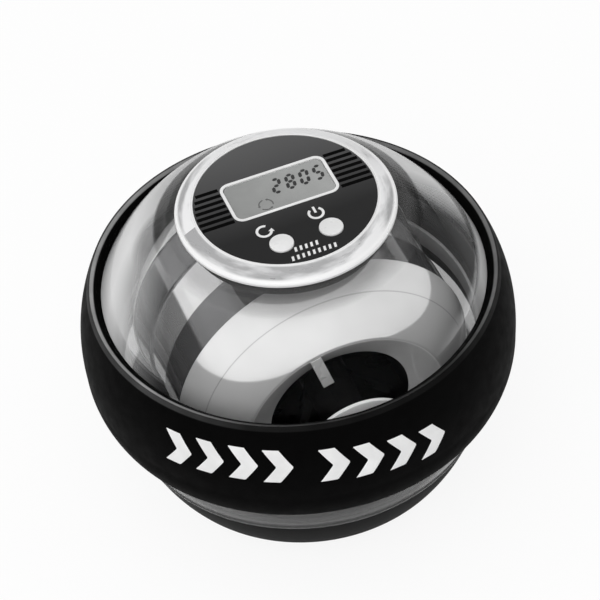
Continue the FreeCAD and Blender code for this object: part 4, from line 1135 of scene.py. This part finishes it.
    def build(self, shop: Workshop) -> None:
        """Makes and fits the shell's pieces.

        Args:
            shop: the workshop that fits them.
        """
        rubber = MouldedPlastic("foot_rubber", grey(0.014), 0.55, 2400.0)
        nylon = MouldedPlastic("black_nylon", grey(0.01), 0.38, 1500.0)
        shop.fit(self.dome(), "shell", "clear_plastic", self.clear, "upper_shell")
        shop.fit(self.cup(), "shell", "clear_plastic", self.lower, "lower_shell")
        shop.fit(self.foot(), "shell", "black_rubber", rubber, "foot_ring")
        shop.fit(self.race(1), "shell", "black_nylon", nylon, "upper_race")
        shop.fit(self.race(-1), "shell", "black_nylon", nylon, "lower_race")
        shop.dress(rubber, "collar_gasket")
        shop.dress(PlatedMetal("dark_screw", (0.3, 0.3, 0.31), 0.2), "lock_screws")


@dataclass
class GripBand:
    """The rubber band with its lip and the printed row of chevrons on its front."""

    outer: float = 35.0
    inner_top: float = 13.6
    knots: tuple[Point, ...] = ((35.55, -4.7), (36.3, -2.4), (36.49, 0.25), (36.1, 7.5), (33.8, 15.1))
    lip: Point = (32.6, 14.45)
    marks: int = 8
    mark_levels: Point = (3.9, 10.6)
    mark_reach: float = 38.0
    mark_turn: float = -1.5
    mark_wide: float = 0.56
    mark_lean: float = 0.42
    mark_gap: float = 0.6
    mark_rise: Point3 = (0.6, -1.4, -1.9)
    mark_lift: float = 0.06
    mark_sink: float = -0.08
    mark_root: float = 0.3
    mark_grid: tuple[int, int] = (24, 10)

    def out_at(self, height: np.ndarray) -> np.ndarray:
        """The band's radius at heights, read between the points of the arcs below and above its widest line.

        Args:
            height: the heights.

        Returns:
            The radii.
        """
        arcs = [arc_through(*self.knots[first:first + 3], step=0.4) for first in (0, 2)]
        side = np.concatenate([arcs[0], arcs[1][1:]])
        return np.interp(height, side[:, 1], side[:, 0])

    def band(self) -> bpy.types.Object:
        """The band: its profile closed along the shell's sphere, turned about the upright axis.

        Returns:
            The piece.
        """
        low, lower, widest, upper, high = self.knots
        rows = (
            (*on_sphere(self.outer, low[1]), EDGE), (*low, 0.35, lower), (*widest, 0.0, upper), (*high, NEAT),
            (*self.lip, EDGE),
            (*on_sphere(self.outer, self.inner_top), EDGE, on_sphere(self.outer, (self.inner_top + low[1]) / 2)),
        )
        return turned("grip_sleeve", profile(rows, step=0.5), Axis.UPRIGHT, steps=384)

    def chevrons(self) -> bpy.types.Object:
        """A row of chevrons laid on the band.

        The row sags: a chevron's rise is a square function of its place from one end to the other. Each
        chevron is a patch of two parameters: along it the angle grows, and across it the height
        grows while the angle leans out to the middle of its height and back. The radius is the band's
        own at that height plus the print's thickness, and the patch's rim goes down into the rubber.

        Returns:
            The row.
        """
        rows, columns = self.mark_grid
        size = rows * columns
        span = self.mark_reach * 2 / (self.marks + self.mark_gap)
        u, v = np.meshgrid(np.linspace(0.0, 1.0, columns), np.linspace(0.0, 1.0, rows))
        lean = (1.0 - np.abs(2.0 * v - 1.0)) * span * self.mark_lean
        border = (u == 0.0) | (u == 1.0) | (v == 0.0) | (v == 1.0)
        r, c = np.meshgrid(np.arange(rows - 1), np.arange(columns - 1), indexing="ij")
        corner = r * columns + c
        quads = np.stack([corner, corner + 1, corner + columns + 1, corner + columns], axis=-1).reshape(-1, 4)
        rim = np.concatenate([
            np.arange(columns - 1), np.arange(rows - 1) * columns + columns - 1,
            size - 1 - np.arange(columns - 1), (rows - 1 - np.arange(rows - 1)) * columns,
        ])
        ahead = np.roll(rim, -1)
        walls = np.stack([rim, rim + size, ahead + size, ahead], axis=1)
        points, faces = [], []
        for number in range(self.marks):
            gap = self.mark_gap * span if number >= self.marks // 2 else 0.0
            start = number * span + gap - self.mark_reach + self.mark_turn
            angle = np.radians(start + u * span * self.mark_wide + lean - 90.0 - AXLE_TURN)
            place = (2 * number + 1) / self.marks - 1.0
            low, high = np.array(self.mark_levels) + np.polyval(self.mark_rise[::-1], place)
            height = low + v * (high - low)
            out = self.out_at(height) + np.where(border, self.mark_sink, self.mark_lift)
            for reach in (out, out - self.mark_root):
                points.append(np.stack([reach * np.cos(angle), reach * np.sin(angle), height], axis=-1).reshape(-1, 3))
            faces += [part + 2 * size * number for part in (quads, quads[:, ::-1] + size, walls)]
        return new_object("band_chevrons", np.concatenate(points), faces)

    def build(self, shop: Workshop) -> None:
        """Makes and fits the band's pieces in the workshop."""
        shop.fit(self.band(), "shell", "black_rubber", GripRubber("grip_rubber"), "grip_band")
        shop.fit(self.chevrons(), "shell", "white_trim", MouldedPlastic("white_print", grey(0.86), 0.5, 2200.0, 0.08))


@dataclass
class Rotor:
    """The two plated halves, the belt, hubs, ribs and everything on the axle, with the guide ring."""

    bore: float = 1.5
    stem: float = 4.0
    stem_end: float = 12.0
    pocket: Point = (14.0, 21.4)
    pocket_end: float = 7.9
    belt_seat: Point = (22.9, 25.3)
    belt_half: float = 4.0
    drum_end: float = 11.3
    rim: Point = (25.7, 11.5)
    rim_arc: Point = (24.75, 14.0)
    crease: Point = (23.3, 16.5)
    dish_arc: Point = (20.9, 19.25)
    lip: Point = (17.7, 21.4)
    lip_wall: float = 0.45
    recess: Point = (12.1, 18.45)
    recess_floor: float = 9.0
    disc: float = 9.8
    disc_levels: Point = (26.75, 27.35)
    disc_arc: Point = (5.9, 28.05)
    hub_base: float = 26.0
    hub_nose: Point = (2.4, 28.35)
    hoop: Point = (29.9, 31.4)
    hoop_half: float = 1.85
    chrome: RotorChrome = field(default_factory=lambda: RotorChrome("rotor_chrome"))

    def half(self, side: int) -> bpy.types.Object:
        """A rotor half: drum, two dome arcs, light cone, deep recess and the pocket for the weight.

        Args:
            side: 1 for the rear half and -1 for the front one.

        Returns:
            The half, turned about the axle.
        """
        (weight_in, weight_out), (seat_in, drum) = self.pocket, self.belt_seat
        rows = (
            (self.bore, 0.0), (weight_in, 0.0), (weight_in, self.pocket_end), (weight_out, self.pocket_end),
            (weight_out, 0.0), (seat_in, 0.0), (seat_in, self.belt_half), (drum, self.belt_half, NEAT),
            (drum, self.drum_end, 0.06), (*self.rim, EDGE, self.rim_arc), (*self.crease, NEAT, self.dish_arc),
            (*self.lip, 0.16), (self.lip[0] - self.lip_wall, self.lip[1], 0.14), (*self.recess, SOFT),
            (self.recess[0], self.recess_floor, FULL), (self.stem, self.recess_floor, SOFT),
            (self.stem, self.stem_end), (self.bore, self.stem_end),
        )
        name = "rotor_dish_rear" if side > 0 else "rotor_dish_front"
        return turned(name, profile(rows, step=0.7, side=side), Axis.AXLE, steps=320)

    def hub(self, side: int) -> bpy.types.Object:
        """A hub: a stem that opens into a shallow bright dish near the track.

        Args:
            side: 1 for the rear hub and -1 for the front one.

        Returns:
            The hub, turned about the axle.
        """
        (inner, outer), nose = self.disc_levels, self.hub_nose
        rows = (
            (self.bore, self.stem_end), (self.stem, self.stem_end), (self.stem, self.hub_base, 0.5),
            (self.disc, inner, EDGE), (self.disc, outer, 0.15, self.disc_arc), (*nose, EDGE),
            (self.bore, nose[1], EDGE),
        )
        name = "hub_dish_rear" if side > 0 else "hub_dish_front"
        return turned(name, profile(rows, step=0.8, side=side), Axis.AXLE, steps=192)

    def guide(self) -> bpy.types.Object:
        """The guide ring's flat hoop with its rounded edges, turned about the upright axis.

        Returns:
            The piece.
        """
        inner, outer, half = *self.hoop, self.hoop_half
        rows = ((inner, -half, SOFT), (outer, -half, SOFT), (outer, half, SOFT), (inner, half, SOFT))
        return turned("guide_hoop", profile(rows), Axis.UPRIGHT)

    def build(self, shop: Workshop) -> None:
        """Makes and fits the rotor's pieces.

        Args:
            shop: the workshop that fits them.
        """
        ends = ((1, "rear"), (-1, "front"))
        for side, end in ends:
            shop.fit(self.half(side), "rotor", "chrome_plate", self.chrome, f"rotor_{end}")
        # Hub stems painted black as shade, and discs white as a painted highlight.
        disc = TippedMetal("hub_chrome", grey(0.006), grey(0.96), 26.7, 0.04, Cloud(400.0, 2.0, 0.112, 0.182))
        for side, end in ends:
            shop.fit(self.hub(side), "rotor", "chrome_plate", disc, f"hub_{end}")
        shop.dress(self.chrome, "rotor_belt")
        # Rib bodies painted black as shade, and their front edges bright as a painted highlight.
        rib = TippedMetal("rib_metal", grey(0.004), grey(0.8), 21.2, 0.25, Cloud(400.0, 2.0, 0.24, 0.36),
                          0.1, Cloud(200.0, 2.0, 0.8, 1.0))
        shop.dress(rib, "rib_spider_front", "rib_spider_rear")
        shop.dress(PlatedMetal("ground_steel", (0.62, 0.62, 0.63), 0.18), "axle")
        steel = PlatedMetal("screw_steel", (0.5, 0.5, 0.51), 0.2)
        shop.dress(steel, "rotor_screws", "board_screws", "switch_domes")
        brass = PlatedMetal("turned_brass", (0.72, 0.55, 0.28), 0.22)
        shop.dress(brass, "weight_ring", "axle_bushings", "cell_contact", "side_contact")
        shop.dress(PlatedMetal("plug_nickel", (0.4, 0.4, 0.41), 0.15), "trigger_magnet", "balance_plug")
        nylon = MouldedPlastic("hoop_nylon", grey(0.42), 0.35, 1300.0)
        shop.fit(self.guide(), "guide", "white_nylon", nylon, "guide_ring")


@dataclass
class Counter:
    """The counter's bezel, face, display, digits, icons and buttons."""

    bezel_foot: Point3 = (15.2, 29.3, 29.7)
    bezel_out: float = 17.85
    bezel_bevel: tuple[Point, ...] = ((17.85, 29.8), (17.7, 30.15), (17.25, 30.35), (15.05, 31.5))
    bezel_bore: Point3 = (14.75, 31.42, 30.4)
    bezel_ledge: float = 14.0
    face_top: float = 31.3
    mark_levels: Point = (0.02, 0.03)
    lcd_top: float = 30.7
    film_half: Point = (8.42, 4.02)
    film_back: float = 2.45
    film_round: float = 1.12
    film_top: float = 31.12
    digit_height: float = 3.5
    digit_width: float = 1.7
    digit_pitch: float = 2.4
    digit_left: float = -1.3
    digit_low: float = 1.65
    digit_lean: float = 0.17
    digit_taper: float = 0.24304
    stroke: float = 0.56
    reading: tuple[str, ...] = ("abged", "abcdefg", "abcdef", "afgcd")
    cycle: Point = (-3.2, 0.1)
    cycle_size: Point3 = (1.15, 0.2, 0.34)
    cycle_arcs: tuple[Point, ...] = ((100.0, 180.0), (220.0, 300.0), (340.0, 420.0))
    arc_piece: float = 12.0
    arrow_half: float = 0.75
    stripes: int = 7
    stripe_low: float = -1.815
    stripe_pitch: float = 1.3
    stripe_wide: float = 0.73
    stripe_start: float = 9.12
    stripe_reach: float = 14.62
    stripe_gap: float = 0.06
    stripe_levels: Point = (0.13, 0.008)
    key_marks: tuple[Point, Point] = ((-5.7, -5.6), (3.2, -5.3))
    key_mark_size: Point3 = (1.15, 0.42, 0.66)
    turning_arc: Point = (60.0, 340.0)
    power_arc: Point = (130.0, 410.0)
    power_bar: Point3 = (0.2, 0.1, 1.5)
    tick_rows: tuple[tuple[float, int, float], ...] = ((-0.75, 5, -11.9), (-0.1, 9, -13.6))
    tick_pitch: float = 0.88
    tick_size: Point = (0.4, 0.95)
    tick_lean: float = 0.16
    button_spread: float = 4.17
    button_back: float = 9.25
    button_flange: Point3 = (2.45, 30.0, 30.35)
    button_cap: Point3 = (1.95, 31.55, 31.8)

    def bezel(self) -> bpy.types.Object:
        """The bezel: a bevel between a soft outer lip and a crisp crest, turned about the upright axis.

        Returns:
            The piece.
        """
        (foot, low, shelf), (bore, lip, ledge) = self.bezel_foot, self.bezel_bore
        shoulder, arc, bevel, crest = self.bezel_bevel
        rows = (
            (foot, low, CRISP), (self.bezel_out, low, NEAT), (*shoulder, EDGE, arc), (*bevel, 0.35), (*crest, EDGE),
            (bore, lip, 0.06), (bore, ledge, CRISP), (self.bezel_ledge, ledge, CRISP),
            (self.bezel_ledge, shelf, CRISP), (foot, shelf, CRISP),
        )
        return turned("bezel_hoop", profile(rows, step=0.3), Axis.UPRIGHT, steps=288)

    def flat(self, name: str, loops: list[np.ndarray], level: float, sink: float = 0.02,
             rise: float = 0.02) -> bpy.types.Object:
        """A flat print that goes a little below a level and stands a little above it."""
        return slab(name, loops, level - sink, level + rise)

    def film(self) -> bpy.types.Object:
        """The display's grey film just under the lens: a rectangle whose corners are quarter circles.

        Returns:
            The piece.
        """
        arc = circle(np.radians(np.linspace(0.0, 90.0, 9)), self.film_round)
        corners = []
        for x, y in ((1, 1), (-1, 1), (-1, -1), (1, -1)):
            corners.append(arc + (np.array(self.film_half) - self.film_round) * (x, y))
            arc = np.column_stack([-arc[:, 1], arc[:, 0]])
        loop = np.concatenate(corners) + np.array([0.0, self.film_back])
        return self.flat("lcd_film", [loop], self.lcd_top, rise=self.film_top - self.lcd_top)

    def segment(self, letter: str) -> np.ndarray:
        """A digit's segment as a long hexagon between two of the digit's six corners.

        Args:
            letter: the segment's letter, from the top one round to the middle one.

        Returns:
            Its six corners in millimetres, before the digit's lean.
        """
        half = self.stroke / 2
        left, right = half, self.digit_width - half
        low, middle, top = half, self.digit_height / 2, self.digit_height - half
        start, end = np.array({
            "a": ((left, top), (right, top)), "b": ((right, middle), (right, top)),
            "c": ((right, low), (right, middle)), "d": ((left, low), (right, low)),
            "e": ((left, low), (left, middle)), "f": ((left, middle), (left, top)),
            "g": ((left, middle), (right, middle)),
        }[letter], float)
        along = (end - start) / np.linalg.norm(end - start)
        across = np.array([-along[1], along[0]]) * half
        taper = along * self.digit_taper
        start, end = start + taper / 2, end - taper / 2
        return np.array([start, start + taper + across, end - taper + across, end,
                         end - taper - across, start + taper - across])

    def digits(self) -> bpy.types.Object:
        """The reading, kept as each digit's lit segments, in flat hexagons that lean by a share of their height.

        Returns:
            The piece.
        """
        loops = []
        for place, letters in enumerate(self.reading):
            left = self.digit_left + place * self.digit_pitch
            for loop in map(self.segment, letters):
                leaning = loop[:, 0] + left + loop[:, 1] * self.digit_lean
                loops.append(np.column_stack([leaning, loop[:, 1] + self.digit_low])[::-1])
        return self.flat("lcd_digits", loops, self.film_top)

    def arc_bands(self, centre: Point, size: Point3, *spans: Point) -> list[np.ndarray]:
        """Short bands of a circle, each cut into pieces that are star shaped.

        Args:
            centre: the circle's centre.
            size: the middle radius, the band's width and the arrow heads' size.
            spans: start and end angles in degrees.

        Returns:
            Outlines of the pieces.
        """
        loops = []
        radius, width, _ = size
        for start, end in spans:
            cuts = np.linspace(start, end, max(2, int(abs(end - start) / self.arc_piece) + 1))
            for first, last in zip(cuts[:-1], cuts[1:]):
                arc = circle(np.radians(np.linspace(first, last, 3)))
                loops.append(np.concatenate([arc * (radius + width / 2), arc[::-1] * (radius - width / 2)])
                             + np.array(centre))
        return loops

    def arrow_head(self, centre: Point, size: Point3, angle: float) -> np.ndarray:
        """A triangle on a circle, which points the way that its angle grows.

        Args:
            centre: the circle's centre.
            size: the middle radius, the band's width and the arrow head's size.
            angle: where it stands, in degrees.

        Returns:
            The triangle.
        """
        radius, _, reach = size
        out = circle(np.radians([angle]))[0]
        way, base, half = np.array([-out[1], out[0]]), np.array(centre) + out * radius, out * reach * self.arrow_half
        return np.array([base + way * reach, base - half, base + half])

    def cycle_icon(self) -> bpy.types.Object:
        """Three arrows that chase round a circle.

        Returns:
            The piece.
        """
        loops = self.arc_bands(self.cycle, self.cycle_size, *self.cycle_arcs)
        loops += [self.arrow_head(self.cycle, self.cycle_size, end) for _, end in self.cycle_arcs]
        return self.flat("lcd_icon", loops, self.film_top)

    def painted_groove_shade(self) -> bpy.types.Object:
        """Black stripes of painted shade that fill the face's grooves, from beside the window to the face's round edge.

        Returns:
            The piece.
        """
        loops = []
        for number in range(self.stripes):
            low = self.stripe_low + self.stripe_pitch * number
            high = low + self.stripe_wide
            near, far = self.stripe_start, math.sqrt(self.stripe_reach ** 2 - high ** 2) - self.stripe_gap
            for first, last in ((near, far), (-far, -near)):
                loops.append(np.array([(first, low), (last, low), (last, high), (first, high)]))
        return self.flat("painted_groove_stripes", loops, self.face_top, *self.stripe_levels)

    def face_icons(self) -> bpy.types.Object:
        """Plain marks by the buttons: a turning arrow, a power mark and two rows of leaning ticks.

        Returns:
            The piece.
        """
        left, right = self.key_marks
        loops = self.arc_bands(left, self.key_mark_size, self.turning_arc)
        loops.append(self.arrow_head(left, self.key_mark_size, self.turning_arc[1]))
        loops += self.arc_bands(right, self.key_mark_size, self.power_arc)
        half, low, high = self.power_bar
        loops.append(np.array([(-half, low), (half, low), (half, high), (-half, high)]) + np.array(right))
        (wide, tall), lean = self.tick_size, self.tick_lean
        tick = np.array([(0.0, 0.0), (wide, 0.0), (wide + lean, tall), (lean, tall)])
        for centre, count, low in self.tick_rows:
            loops += [tick + (centre + (place - count / 2) * self.tick_pitch, low) for place in range(count)]
        return self.flat("face_marks", loops, self.face_top, *self.mark_levels)

    def cap(self, side: int) -> bpy.types.Object:
        """A button's cap: a flange, a straight side and a soft crown, turned about its own axis.

        Args:
            side: -1 for the left button and 1 for the right one.

        Returns:
            The cap.
        """
        (flange, low, high), (out, edge, crown) = self.button_flange, self.button_cap
        rows = (
            (0.0, low), (flange, low, FINE), (flange, high, FINE), (out, high, 0.03), (out, edge, 0.22), (0.0, crown),
        )
        name = "cap_right" if side > 0 else "cap_left"
        centre = (self.button_spread * side, -self.button_back)
        return turned(name, profile(rows, closed=False), Axis.UPRIGHT, steps=96, closed=False, centre=centre)

    def build(self, shop: Workshop) -> None:
        """Makes and fits the counter's pieces.

        Args:
            shop: the workshop that fits them.
        """
        ink = MouldedPlastic("display_ink", grey(0.03), 0.4, 900.0, 0.05)
        faint = MouldedPlastic("display_faint_ink", grey(0.12), 0.4, 900.0, 0.05)
        white = MouldedPlastic("face_white", grey(0.85), 0.35, 1500.0, 0.08)
        # Painted shade for the face's grooves.
        groove_black = MouldedPlastic("painted_groove_black", grey(0.001), 0.7, 1500.0, 0.02, 0.04)
        key = MouldedPlastic("key_white", grey(0.82), 0.3, 900.0, 0.06)
        black = MouldedPlastic("housing_black", grey(0.012), 0.35, 1600.0)
        shop.fit(self.bezel(), "shell", "silver_bezel", SatinMetal("bezel_silver"), "bezel_ring")
        shop.fit(self.film(), "shell", "lcd_grey", DisplayGlass("lcd_film"))
        shop.fit(self.digits(), "shell", "lcd_grey", ink)
        shop.fit(self.cycle_icon(), "shell", "lcd_grey", faint)
        shop.fit(self.face_icons(), "shell", "white_trim", white)
        # Black strips in the grooves as painted shade.
        shop.fit(self.painted_groove_shade(), "shell", "black_nylon", groove_black)
        shop.fit(self.cap(-1), "left_key", "button_white", key, "button_left")
        shop.fit(self.cap(1), "right_key", "button_white", key, "button_right")
        shop.dress(CounterFace("face_gloss"), "faceplate")
        shop.dress(MouldedPlastic("frame_white", grey(0.88), 0.3, 1500.0, 0.05), "window_frame")
        shop.dress(ClearPlastic("window_clear", edge_share=0.3), "window_lens")
        shop.dress(DisplayGlass("lcd_panel"), "lcd_panel")
        shop.dress(PrintedBoard("board_green"), "circuit_board")
        shop.dress(black, "counter_housing", "battery_door", "counter_chip", "zebra_strips")
        shop.dress(PlatedMetal("cell_case", grey(0.7), 0.2), "coin_cell")
        shop.dress(ClearPlastic("reed_glass", (0.6, 0.75, 0.65), face_share=0.3), "reed_switch")


@dataclass
class Studio:
    """The camera, lamps, floor and sky."""

    elevation: float = 46.5
    roll: float = -5.9
    distance: float = 364.0
    scale: float = 215.0 / 36.4
    centre: Point = (299.0, 331.0)
    frame_width: int = 600
    sensor: float = 36.0
    clip: Point = (0.01, 20.0)
    floor_reach: float = 3000.0
    floor_greys: Point = (0.94, 0.97)
    floor_seen: float = 0.88
    sky_greys: tuple[Point, ...] = ((0.0, 0.3), (0.15, 0.4), (0.4, 0.75), (1.0, 0.95))
    sky_strength: float = 0.75
    lamps: tuple[tuple[str, Point3, float, float], ...] = (
        ("lamp_over", (-0.3, -0.2, 0.9), 1.06, 2.5), ("lamp_left", (-0.4, -0.65, 0.85), 0.8, 3.6))
    dim_side: Span = (0.3, 0.95, 0.92, 0.66)
    below: tuple[Point3, Span] = ((0.12, 0.0, 1.0), (0.0, 0.03, 0.84, 1.0))
    dark_zone: tuple[Point3, Span] = ((0.6, 0.64, -0.48), (0.78, 0.84, 1.0, 0.12))
    gaps: tuple[Point3, ...] = ((60.0, 0.0, 16.6), (42.0, 17.0, 15.5))
    gap_slope: float = 0.0012
    gap_tone: float = 0.1

    def camera(self) -> None:
        """Places the camera from the ball's upright direction as the photograph shows it.

        In the camera's own axes the ball's upright is (sine of roll times cosine of elevation, cosine of
        roll times cosine of elevation, sine of elevation), and the axle is turned from the direction
        towards the camera, about that upright, by its own angle.
        """
        lift, lean, turn = (math.radians(a) for a in (self.elevation, self.roll, AXLE_TURN))
        up = Vector((math.sin(lean) * math.cos(lift), math.cos(lean) * math.cos(lift), math.sin(lift)))
        near = (Vector((0.0, 0.0, 1.0)) - up * up.z).normalized()
        deep = -(near * math.cos(turn) + up.cross(near) * math.sin(turn))
        to_world = Matrix((deep.cross(up), deep, up))
        middle = self.frame_width / 2
        right, down = ((pixel - middle) / self.scale for pixel in self.centre)
        offset = Vector((right, -down, -self.distance))
        spot = (Vector((0.0, 0.0, CENTRE_HEIGHT)) - to_world @ offset) * MILLIMETRE
        data = bpy.data.cameras.new("camera")
        data.sensor_width = self.sensor
        data.lens = self.sensor * self.scale * self.distance / self.frame_width
        data.clip_start, data.clip_end = self.clip
        camera = bpy.data.objects.new("camera", data)
        camera.matrix_world = Matrix.Translation(spot) @ to_world.to_4x4()
        bpy.context.scene.collection.objects.link(camera)
        bpy.context.scene.camera = camera

    def lamp(self, name: str, spot: Point3, size: float, power: float) -> None:
        """A square soft lamp that looks at the ball and isn't mirrored, as the sky's boxes are.

        Args:
            name: the lamp's name.
            spot: where it stands, in metres.
            size: its side in metres.
            power: its power in watts.
        """
        data = bpy.data.lights.new(name, "AREA")
        data.energy, data.size = power, size
        lamp = bpy.data.objects.new(name, data)
        lamp.visible_glossy = False
        way = Vector((0.0, 0.0, CENTRE_HEIGHT * MILLIMETRE)) - Vector(spot)
        lamp.rotation_euler = way.to_track_quat("-Z", "Y").to_euler()
        lamp.location = spot
        bpy.context.scene.collection.objects.link(lamp)

    def seen(self, sheet: NodeSheet) -> Socket:
        """One for what the camera sees by itself or through something clear, and zero for the rest."""
        path = sheet.add("LightPath").outputs
        return sheet.most(path["Is Camera Ray"], path["Is Transmission Ray"])

    def floor(self) -> None:
        """A pale floor that the camera sees as near white, with the ball's shadow kept."""
        corners = np.array([(-1, -1), (1, -1), (1, 1), (-1, 1)]) * self.floor_reach
        ground = np.column_stack([corners, np.full(4, -CENTRE_HEIGHT)])
        floor = new_object("floor", ground, [np.array([[0, 1, 2, 3]])], sharp=False)
        sheet = NodeSheet("floor_paper")
        dark, light = self.floor_greys
        sheet.wear(Roughness=0.9, Base_Color=sheet.ramp(sheet.noise(3.0, 2.0), ((0.0, dark), (1.0, light))))
        glow = sheet.add("Emission", {"Color": WHITE, "Strength": 1.0})
        share = sheet.times(self.seen(sheet), self.floor_seen)
        blend = sheet.add("MixShader", {0: share, 1: sheet.shader.outputs[0], 2: glow.outputs[0]})
        sheet.put(sheet.output.inputs["Surface"], blend.outputs[0])
        floor.data.materials.append(sheet.holder)

    def sky(self) -> None:
        """White where the camera looks, a soft white to grey dome for light, and boxes for gloss."""
        sheet = NodeSheet("studio", bpy.data.worlds)
        bpy.context.scene.world = sheet.holder
        way = sheet.add("TexCoord").outputs["Generated"]
        height = sheet.add("SeparateXYZ", {0: way}).outputs[2]
        sheet.wear(Color=sheet.ramp(height, self.sky_greys), Strength=self.sky_strength)
        white = sheet.add("Background", {"Color": WHITE})
        boxes = sheet.add("Background", {"Color": WHITE, "Strength": self.softboxes(sheet, way)})
        glossy = sheet.add("LightPath").outputs["Is Glossy Ray"]
        mirrored = sheet.add("MixShader", {0: glossy, 1: sheet.shader.outputs[0], 2: boxes.outputs[0]})
        blend = sheet.add("MixShader", {0: self.seen(sheet), 1: mirrored.outputs[0], 2: white.outputs[0]})
        sheet.put(sheet.output.inputs["Surface"], blend.outputs[0])

    def softboxes(self, sheet: NodeSheet, way: Socket) -> Socket:
        """The studio that gloss mirrors: white all round, dimmer to one side and below, with dark zones.

        A zone lies where the cosine between the way looked and the zone's middle is above its edge's.

        Args:
            sheet: the world's sheet.
            way: the direction looked in.

        Returns:
            The brightness.
        """
        turn = math.radians(AXLE_TURN)
        zones = [((math.cos(turn), -math.sin(turn), 0.0), self.dim_side), self.below, self.dark_zone]
        for lift, swing, reach in self.gaps:
            up, aside, edge = math.radians(lift), math.radians(swing) - turn, math.cos(math.radians(reach))
            middle = (-math.cos(up) * math.sin(aside), math.cos(up) * math.cos(aside), math.sin(up))
            zones.append((middle, (edge - self.gap_slope, edge + self.gap_slope, 1.0, self.gap_tone)))
        return sheet.times(*(sheet.between(sheet.vector("DOT_PRODUCT", way, middle), *span) for middle, span in zones))

    def build(self) -> None:
        """Sets up the whole studio."""
        bpy.context.scene.view_settings.view_transform = "Standard"
        self.camera()
        self.floor()
        self.sky()
        for lamp in self.lamps:
            self.lamp(*lamp)


def main() -> None:
    """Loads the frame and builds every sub-assembly in order."""
    logging.basicConfig(level=logging.INFO, format="%(name)s: %(message)s")
    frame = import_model()
    shop = Workshop(frame)
    Studio().build()
    for assembly in (Shell(), GripBand(), Rotor(), Counter()):
        assembly.build(shop)


if __name__ == "__main__":
    main()
